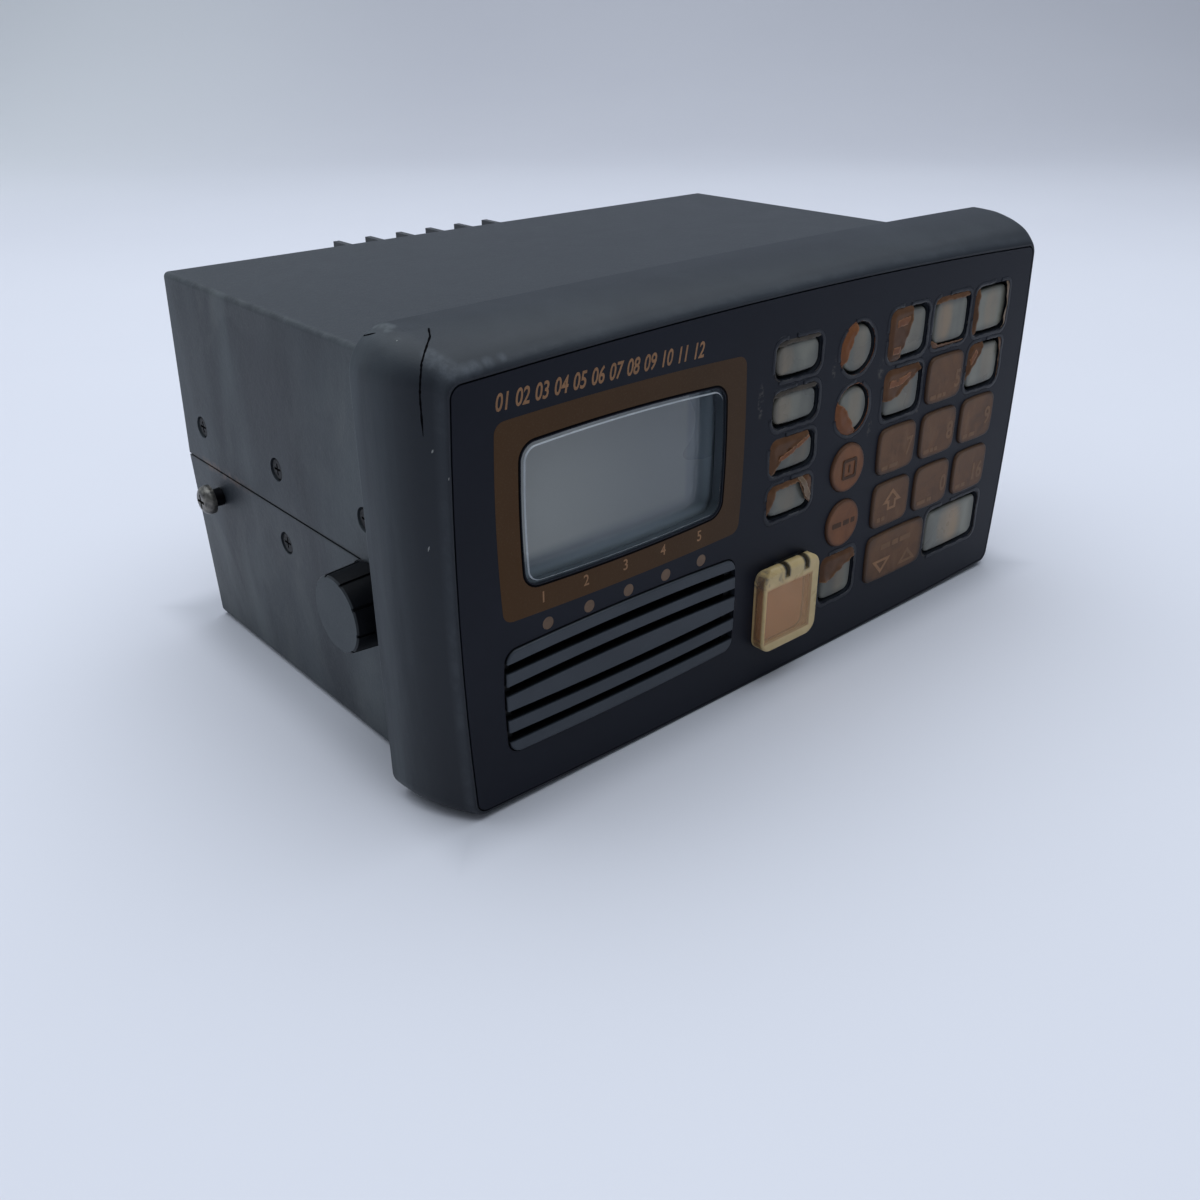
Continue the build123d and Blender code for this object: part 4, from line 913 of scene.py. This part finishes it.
def ridge(name, key, inner, outer, height, mat, seed=1, gaps=()):
    """The raised border that the emboss leaves in the film round a key opening. gaps: directions, in degrees, where it is torn away."""
    x, z, w, h, kind = KEYS[key]
    r = w / 2 if key.startswith("key_round") else 2.4
    rand = random.Random(seed)
    phase = [rand.uniform(0, 6.28) for _ in range(6)]
    loop = rounded(x - w / 2, x + w / 2, z - h / 2, z + h / 2, r, n=10)
    pts = []
    for i, (px, pz) in enumerate(loop):
        qx, qz = loop[(i + 1) % len(loop)]
        steps = max(1, int(math.hypot(qx - px, qz - pz) / 0.5))
        for k in range(steps):
            pts.append((px + (qx - px) * k / steps, pz + (qz - pz) * k / steps))
    n = len(pts)
    bm = bmesh.new()
    layer = bm.verts.layers.float.new("tear")
    rings = []
    for i, (px, pz) in enumerate(pts):
        ax, az_ = pts[i - 1]
        bx, bz = pts[(i + 1) % n]
        tx, tz = bx - ax, bz - az_
        size = math.hypot(tx, tz)
        nx, nz = tz / size, -tx / size
        a = math.atan2(pz - z, px - x)
        wave = 0.5 + 0.5 * math.sin(3 * a + phase[0]) * math.sin(5 * a + phase[1])
        jag = 0.10 * math.sin(23 * a + phase[2]) * math.sin(9 * a + phase[3])
        i0, o0 = inner + 0.12 * wave + jag, outer * (0.75 + 0.35 * wave)
        ring = []
        for t in (0.0, 0.25, 0.5, 0.75, 1.0):
            d = i0 + (o0 - i0) * t
            lift = height * (0.55 + 0.6 * wave) * (math.sin(math.pi * min(1.0, 0.28 + 0.72 * t)))
            v = bm.verts.new(D(px + nx * d, -0.012 - max(lift, 0.0), pz + nz * d))
            v[layer] = max(0.0, 1.0 - t * 3.2)
            ring.append(v)
        rings.append((ring, math.degrees(a) % 360))
    for i in range(n):
        (p, ang), (q, _) = rings[i], rings[(i + 1) % n]
        if any(lo <= ang <= hi for lo, hi in gaps):
            continue
        for k in range(4):
            bm.faces.new((p[k], q[k], q[k + 1], p[k + 1]))
    bmesh.ops.recalc_face_normals(bm, faces=bm.faces)
    bm.faces.ensure_lookup_table()
    if sum(f.normal.y for f in bm.faces) > 0:
        bmesh.ops.reverse_faces(bm, faces=bm.faces)
    mesh = bpy.data.meshes.new(name)
    bm.to_mesh(mesh)
    bm.free()
    o = finish_piece(name, mesh, mat, "set", smooth=True)
    m = o.modifiers.new("thickness", "SOLIDIFY")
    m.thickness = 0.05 * MM
    m.offset = -1.0
    return o


# ------------------------------------------------------------------ printing on the front
film_face = -0.02
flat("print_frame", [rounded(-84.9, -17.9, 43.3, 84.6, 2.2, 0.7, 0.7), rounded(-79.2, -23.9, 49.35, 79.25, 3.3, 0.5, 0.8)[::-1]],
     film_face, 0.02, M["brown"], "set")
flat("window_gap", [rounded(-79.62, -23.48, 48.93, 79.67, 3.7, 0.5, 0.8), rounded(-79.2, -23.9, 49.35, 79.25, 3.3, 0.5, 0.8)[::-1]],
     film_face - 0.02, 0.02, M["crack"], "set")

# a plain row of numerals, as on a dial, stands over the display
for k in range(12):
    x = -84.6 + 4.55 * k
    figure(f"dial_{k + 1}", f"{k + 1:02d}", x, 86.6 + 0.3 * (1 - ((x + 57) / 32) ** 2), 3.3, film_face, M["copper"], "set",
           shear=0.26, bold=0.024, thick=0.02, squeeze=0.73)
for k, x in enumerate((-74.9, -63.6, -52.7, -41.7, -30.6)):
    figure(f"lamp_numeral_{k + 1}", str(k + 1), x, 44.9, 2.5, film_face - 0.02, M["copper"], "set", bold=0.014, thick=0.02, squeeze=0.9, centre=True)

# ------------------------------------------------------------------ marks on the keys whose film is whole
CAP_FACE = -0.7 - 0.03


def bars(name, key, x0, x1, z0, z1, pattern, mat="copper_dim", y=CAP_FACE):
    """A short line of plain dashes."""
    total = sum(pattern)
    x = x0
    for k, p in enumerate(pattern):
        step = (x1 - x0) * p / total
        if k % 2 == 0:
            flat(f"{name}_{k // 2}", [rounded(x, x + step, z0, z1, min(0.2, (z1 - z0) / 2.2))], y, 0.03, M[mat], "moving_" + key)
        x += step


for label, x0, z0, height in (("5", 64.3, 60.9, 4.6), ("7", 45.8, 46.6, 4.8), ("8", 63.9, 46.6, 4.8), ("9", 81.8, 46.7, 4.8), ("0", 64.1, 31.5, 4.6), ("16", 80.8, 30.8, 4.8)):
    figure(f"numeral_{label}", label, x0, z0, height, CAP_FACE, M["copper_dim"], "moving_key_" + label, bold=0.028, thick=0.03, squeeze=0.85, centre=True)
bars("dash_5", "key_5", 52.8, 59.6, 59.4, 60.5, (3, 0.8, 2.2, 0.6, 1.6))
bars("dash_7", "key_7", 34.9, 41.6, 44.6, 45.7, (2, 0.7, 3.0))
bars("dash_8", "key_8", 52.9, 59.0, 44.6, 45.7, (2.6, 0.7, 1.5, 0.6, 1.4))
bars("dash_9", "key_9", 71.0, 76.6, 44.6, 45.7, (1.8, 0.7, 2.4))
bars("dash_0", "key_0", 52.9, 59.4, 29.9, 31.0, (3.0, 0.8, 1.6))
bars("dash_16", "key_16", 71.0, 75.4, 29.9, 31.0, (1.6, 0.6, 1.4))
bars("dash_shift", "key_shift", 35.3, 38.6, 30.0, 31.2, (1.4, 0.5, 1.4))
flat("arrow_shift", [[(39.2, 32.6), (42.8, 32.6), (42.8, 34.6), (45.0, 34.6), (41.0, 38.4), (37.0, 34.6), (39.2, 34.6)],
                     [(40.0, 33.3), (40.0, 35.3), (39.0, 35.3), (41.0, 37.2), (43.0, 35.3), (42.0, 35.3), (42.0, 33.3)]],
     CAP_FACE, 0.03, M["copper"], "moving_key_shift")
bars("dash_wide", "key_wide_left", 38.6, 51.6, 21.2, 22.7, (3.0, 0.8, 2.0, 0.6, 3.6))
flat("arrow_down", [[(35.4, 18.4), (39.4, 14.2), (43.4, 18.4)], [(37.3, 17.65), (41.5, 17.65), (39.4, 15.45)]],
     CAP_FACE, 0.03, M["copper"], "moving_key_wide_left")
flat("arrow_up", [[(47.0, 14.2), (55.0, 14.2), (51.0, 18.4)], [(48.9, 14.95), (51.0, 17.15), (53.1, 14.95)]],
     CAP_FACE, 0.03, M["copper_dim"], "moving_key_wide_left")
flat("icon_round_3", [rounded(18.5, 24.0, 46.3, 51.6, 0.7), rounded(19.3, 23.2, 47.1, 50.8, 0.4)[::-1]], CAP_FACE - 0.12, 0.15, M["dark_ink"], "moving_key_round_3", bevel=0.03)
flat("icon_round_3_bar", [rounded(20.95, 21.55, 47.9, 50.0, 0.2)], CAP_FACE - 0.08, 0.1, M["dark_ink"], "moving_key_round_3")
bars("dash_round_4", "key_round_4", 16.6, 25.4, 33.6, 35.0, (3.2, 0.7, 2.2, 0.6, 1.4), mat="dark_ink")

# ------------------------------------------------------------------ what is left of the torn film
BIG = 60.0
film_patch("film_soft_1_rim", "key_soft_1", None, M["film_edge"], rim=(-0.02, 0.30), curl=0.0, crown=0.12, base=-0.06, grow=0.15, seed=3)
film_patch("film_soft_2_rim", "key_soft_2", None, M["film_edge"], rim=(-0.02, 0.30), curl=0.0, crown=0.12, base=-0.06, grow=0.15, seed=4)
film_patch("film_soft_1_top", "key_soft_1", [(-9, 86), (-9, 84.2), (-3, 84.7), (3, 84.5), (9, 84.9), (9, 86)], M["film_edge"], crown=0.3, seed=5)
film_patch("film_soft_2_top", "key_soft_2", [(-9, 75), (-9, 72.9), (-2, 73.3), (4, 73.0), (9, 73.6), (9, 75)], M["film_edge"], crown=0.3, seed=6)
film_patch("film_soft_3", "key_soft_3", [(-9.5, 63.5), (4.9, 63.5), (4.5, 62.0), (1.0, 60.6), (-3.0, 59.0), (-6.0, 57.0), (-7.0, 55.7), (-7.4, 53), (-9.5, 53)], M["film"], curl=0.5, seed=7)
film_patch("film_soft_3_curl", "key_soft_3", [(4.3, 61.95), (1.0, 60.75), (-3.2, 59.3), (-5.8, 58.5), (-6.0, 57.5), (-2.8, 58.2), (1.2, 59.8), (4.4, 61.2)], M["film_copper"], crown=0.85, curl=0.2, seed=8)
film_patch("film_soft_4", "key_soft_4", [(-9.5, 52), (-9.5, 41), (-8.0, 44.9), (-6.0, 50.3), (2.3, 50.5), (4.8, 45.6), (6.4, 44.3), (9.5, 43), (9.5, 52)], M["film"], curl=0.3, seed=9)
film_patch("film_soft_4_flap", "key_soft_4", [(1.8, 52.2), (2.5, 50.6), (4.8, 46.0), (6.4, 44.5), (6.9, 45.6), (4.2, 50.8), (3.2, 52.2)], M["film_tan"], crown=0.8, curl=0.35, seed=10)
film_patch("film_round_1", "key_round_1", [(12, 87), (19.9, 87), (19.8, 84.8), (16.8, 78.5), (15.0, 74.5), (14.6, 71), (12, 71)], M["film_copper"], curl=0.4, seed=11)
film_patch("film_round_1_rim", "key_round_1", None, M["film_copper"], rim=(-0.02, 0.36), curl=0.0, crown=0.2, base=-0.06, grow=0.25, seed=12)
film_patch("film_round_2", "key_round_2", [(12, 66.5), (15.0, 66.8), (17.0, 65.5), (19.6, 62.0), (21.5, 59.0), (22.2, 56), (12, 56)], M["film_copper"], curl=0.4, seed=13)
film_patch("film_round_2_rim", "key_round_2", None, M["film_copper"], rim=(-0.02, 0.34), curl=0.0, crown=0.15, base=-0.05, grow=0.12, seed=14)
film_patch("film_square", "key_square", [(12, 28), (12, 19.3), (14, 19.3), (17.5, 19.2), (19.5, 20.8), (23, 22.0), (27.5, 24.0), (29, 24.5), (29, 28)], M["film"], curl=0.5, seed=15)
film_patch("film_1", "key_1", [(30, 88), (41.6, 88), (41.3, 85), (40.3, 81), (39.5, 78.5), (37.5, 75.0), (36.6, 71), (30, 71)], M["film"], curl=0.45, seed=16)
film_patch("film_1_mark", "key_1", [(35.0, 81.4), (39.6, 81.6), (39.9, 83.6), (35.2, 83.3)], M["film_copper"], crown=0.68, curl=0.0, seed=17)
film_patch("film_1_mark_low", "key_1", [(34.2, 74.9), (37.0, 74.9), (37.3, 76.6), (34.3, 76.5)], M["film_copper"], crown=0.68, curl=0.0, seed=18)
film_patch("film_2_top", "key_2", [(50, 88), (50, 84.4), (56, 84.9), (62, 84.5), (68, 84.9), (68, 88)], M["film"], crown=0.4, seed=19)
film_patch("film_2_low", "key_2", [(50, 71), (50, 76.0), (51.6, 75.0), (53.5, 73.9), (58, 73.6), (68, 73.4), (68, 71)], M["film"], crown=0.3, curl=0.2, seed=20)
film_patch("film_3_left", "key_3", [(67, 88), (70.6, 88), (70.0, 82), (70.3, 77), (69.8, 71), (67, 71)], M["film"], crown=0.5, seed=21)
film_patch("film_3_right", "key_3", [(82.6, 88), (82.2, 84.5), (83.0, 80), (82.5, 76), (83.2, 71), (88, 71), (88, 88)], M["film_tan"], crown=0.6, curl=0.35, seed=22)
film_patch("film_4", "key_4", [(30, 73), (46.9, 73), (46.5, 69.5), (43.0, 67.0), (39.0, 65.0), (38.0, 63.7), (33.5, 63.2), (30, 63.0)], M["film"], curl=0.5, seed=23)
film_patch("film_4_mark", "key_4", [(34.5, 66.4), (39.5, 66.6), (43.0, 68.2), (43.2, 69.4), (39.0, 68.4), (34.5, 68.2)], M["film_copper"], crown=0.68, curl=0.0, seed=24)
film_patch("film_6", "key_6", [(66, 73), (76, 73), (74.5, 69.5), (72.0, 66.0), (70.0, 64.0), (69.0, 61.0), (68.6, 56), (66, 56)], M["film"], curl=0.4, seed=25)
film_patch("film_6_mark", "key_6", [(70.0, 65.2), (72.6, 68.6), (71.6, 69.6), (69.4, 67.0)], M["film_copper"], crown=0.68, curl=0.1, seed=26)
film_patch("film_6_right", "key_6", [(83.0, 73), (82.6, 69.5), (83.4, 66), (84.2, 63), (84.0, 56), (88, 56), (88, 73)], M["film"], crown=0.4, curl=0.2, seed=27)
film_patch("film_wide_right_rim", "key_wide_right", None, M["film_edge"], rim=(-0.02, 0.32), curl=0.0, crown=0.12, base=-0.05, grow=0.12, seed=28)
RIDGE_GAPS = (((100, 128), (196, 214)), ((60, 84), (150, 190)), ((118, 160),), ((88, 112), (170, 182)))
for k, key in enumerate(("key_soft_1", "key_soft_2", "key_soft_3", "key_soft_4", "key_round_1", "key_round_2", "key_square", "key_1", "key_2", "key_3", "key_4", "key_6", "key_wide_right")):
    ridge("ridge_" + key[4:], key, -0.12, 1.1, 0.11, M["ridge"], seed=40 + k, gaps=RIDGE_GAPS[k % 4])

# ------------------------------------------------------------------ cracks and scuffs that lie on the bezel
def ribbon(name, places, width, mat, tree, lift=0.03, seed=1, jitter=0.25, taper=True):
    """A thin irregular band on a surface, through places seen in the frame."""
    r = random.Random(seed)
    fine = []
    for (u0, v0), (u1, v1) in zip(places, places[1:]):
        n = max(2, int(math.hypot(u1 - u0, v1 - v0) / 2.2))
        for k in range(n):
            t = k / n
            fine.append((u0 + (u1 - u0) * t + r.uniform(-jitter, jitter), v0 + (v1 - v0) * t + r.uniform(-jitter, jitter)))
    fine.append(places[-1])
    hits = []
    for u, v in fine:
        p, normal, _, _ = tree.ray_cast(eye, sight(u, v))
        if p is not None:
            hits.append((p, normal))
    verts, faces = [], []
    n = len(hits)
    for i, (p, normal) in enumerate(hits):
        a, b = hits[max(0, i - 1)][0], hits[min(n - 1, i + 1)][0]
        along = (b - a).normalized()
        side = along.cross(normal).normalized()
        s = min(1.0, 0.3 + 4.0 * (n - 1 - i) / max(n - 1, 1)) if not taper else min(1.0, 0.25 + 2.2 * min(i, n - 1 - i) / max(n - 1, 1) * 2)
        half = width / 2 * MM * s * r.uniform(0.7, 1.2)
        verts += [p + side * half + normal * lift * MM, p + normal * (lift + 0.02) * MM, p - side * half + normal * lift * MM]
        if i:
            j = 3 * i
            faces += [(j - 3, j - 2, j + 1, j), (j - 2, j - 1, j + 2, j + 1)]
    mesh = bpy.data.meshes.new(name)
    mesh.from_pydata(verts, [], faces)
    mesh.update()
    return finish_piece(name, mesh, mat, "set", smooth=True)


ribbon("crack_long", [(428.6, 328.0), (430, 336.5), (425.7, 348.8), (421.6, 363.1), (420.1, 381.4), (419.9, 396.7), (421.1, 412), (423.2, 436.5)], 0.40, M["crack"], bezel_tree, seed=2, jitter=0.12, taper=False)
ribbon("crack_short", [(358.9, 336.7), (366, 335.2), (375.7, 333)], 0.36, M["crack"], bezel_tree, seed=3, jitter=0.1, taper=False)
ribbon("scuff_side_a", [(428.2, 552), (429.4, 546.5)], 0.35, M["scuff"], bezel_tree, seed=4, lift=0.02)
ribbon("scuff_side_c", [(448.6, 480.5), (449.2, 477.5)], 0.22, M["scuff"], bezel_tree, seed=6, lift=0.02)
ribbon("scuff_side_d", [(396.4, 341.5), (397.6, 340.0)], 0.30, M["scuff"], bezel_tree, seed=7, lift=0.02)
ribbon("scuff_side_b", [(431.6, 453), (433.2, 449.5)], 0.30, M["scuff"], bezel_tree, seed=5, lift=0.02)

# ------------------------------------------------------------------ thread ridges on the antenna socket
bm = bmesh.new()
for k in range(5):
    y0 = 126.35 + 1.06 * k
    rings = []
    for i in range(72):
        a = 2 * math.pi * i / 72
        rings.append([bm.verts.new(D(-72.0 + r * math.cos(a), y, 62.0 + r * math.sin(a))) for y, r in ((y0, 7.84), (y0 + 0.2, 8.15), (y0 + 0.42, 8.15), (y0 + 0.62, 7.84))])
    for i in range(72):
        p, q = rings[i], rings[(i + 1) % 72]
        for j in range(4):
            bm.faces.new((p[j], q[j], q[(j + 1) % 4], p[(j + 1) % 4]))
bmesh.ops.recalc_face_normals(bm, faces=bm.faces)
thread_mesh = bpy.data.meshes.new("antenna_thread")
bm.to_mesh(thread_mesh)
bm.free()
finish_piece("antenna_thread", thread_mesh, M["nickel"], "set")

# ------------------------------------------------------------------ floor, light
def stage_material():
    """Pale paper sweep with a painted pool of light towards the far left and a painted contact shadow beside the set.
    """
    g = Mat("floor_pale", rough=0.75, spec=0.2)
    o = g.xyz()
    soft = g.noise(3.0, 3, 0.5)
    fine = g.noise(120, 2)
    base = g.mix(g.span(soft, 0.3, 0.7), (0.670, 0.668, 0.725), (0.692, 0.690, 0.745))
    across = g.math("ADD", g.math("MULTIPLY", o[0], math.cos(az)), g.math("MULTIPLY", o[1], math.sin(az)))
    away = g.math("SUBTRACT", g.math("MULTIPLY", o[1], math.cos(az)), g.math("MULTIPLY", o[0], math.sin(az)))
    # painted pool of light towards the far left
    far_left_light_pool = g.math("MULTIPLY", g.span(across, -0.15, -0.75, 0.0, 1.0, smooth=True), g.span(away, 0.45, 1.15, 0.0, 1.0, smooth=True))
    base = g.mix(g.math("MULTIPLY", far_left_light_pool, 0.6), base, (0.93, 0.945, 0.965))
    # painted contact shadow: the sheet darkens right beside the set
    contact_shadow = g.math("MAXIMUM", g.math("SUBTRACT", g.math("ABSOLUTE", o[0]), 0.0955), g.math("SUBTRACT", g.math("ABSOLUTE", g.math("SUBTRACT", o[1], 0.001)), 0.0650))
    base = g.mix(g.math("MULTIPLY", g.span(contact_shadow, 0.0, 0.013, 1.0, 0.0, smooth=True), 0.45), base, (0.36, 0.37, 0.41))
    g.color(base)
    g.bump((fine, 0.0002, 0.04))
    return g.m


bm = bmesh.new()
profile = [(-2.5, 0.0)]
far, radius = 1.9, 0.9
profile += [(far - radius + radius * math.sin(math.radians(a)), radius - radius * math.cos(math.radians(a))) for a in range(0, 91, 6)]
profile += [(far, 3.0)]
turn = Matrix.Rotation(az, 4, "Z")
rows = []
for y, z in profile:
    rows.append([bm.verts.new(turn @ Vector((x, y, z))) for x in (-5.0, 0.0, 5.0)])
for a, b in zip(rows, rows[1:]):
    for i in range(2):
        bm.faces.new((a[i], a[i + 1], b[i + 1], b[i]))
floor_mesh = bpy.data.meshes.new("studio_floor")
bm.to_mesh(floor_mesh)
bm.free()
floor = bpy.data.objects.new("studio_floor", floor_mesh)
for p in floor_mesh.polygons:
    p.use_smooth = True
floor_mesh.materials.append(stage_material())
bpy.context.scene.collection.objects.link(floor)


def area(name, place, target, size, power, color=(1, 1, 1), size_y=None):
    d = bpy.data.lights.new(name, "AREA")
    d.shape = "RECTANGLE"
    d.size = size
    d.size_y = size_y or size
    d.energy = power
    d.color = color
    o = bpy.data.objects.new(name, d)
    bpy.context.scene.collection.objects.link(o)
    o.location = place
    o.rotation_mode = "QUATERNION"
    o.rotation_quaternion = (Vector(target) - Vector(place)).to_track_quat("-Z", "Y")
    return o


front = turn @ Vector((0, -1, 0))
side_v = turn @ Vector((1, 0, 0))
area("overhead", (front * -0.15 + Vector((0, 0, 1.15)))[:], (0, 0, 0.03), 1.9, 20.6, (0.87, 0.94, 1.0), 1.6)
area("left_side", (side_v * -1.25 + front * -0.15 + Vector((0, 0, 0.62)))[:], (0, 0, 0.05), 0.9, 2.0, (0.84, 0.93, 1.0), 0.9)
world = bpy.data.worlds.new("studio_world")
world.use_nodes = True
world.node_tree.nodes["Background"].inputs[0].default_value = (0.80, 0.89, 1.0, 1)
world.node_tree.nodes["Background"].inputs[1].default_value = 0.30
bpy.context.scene.world = world
bpy.context.scene.view_settings.view_transform = "Standard"
bpy.context.scene.view_settings.look = "None"
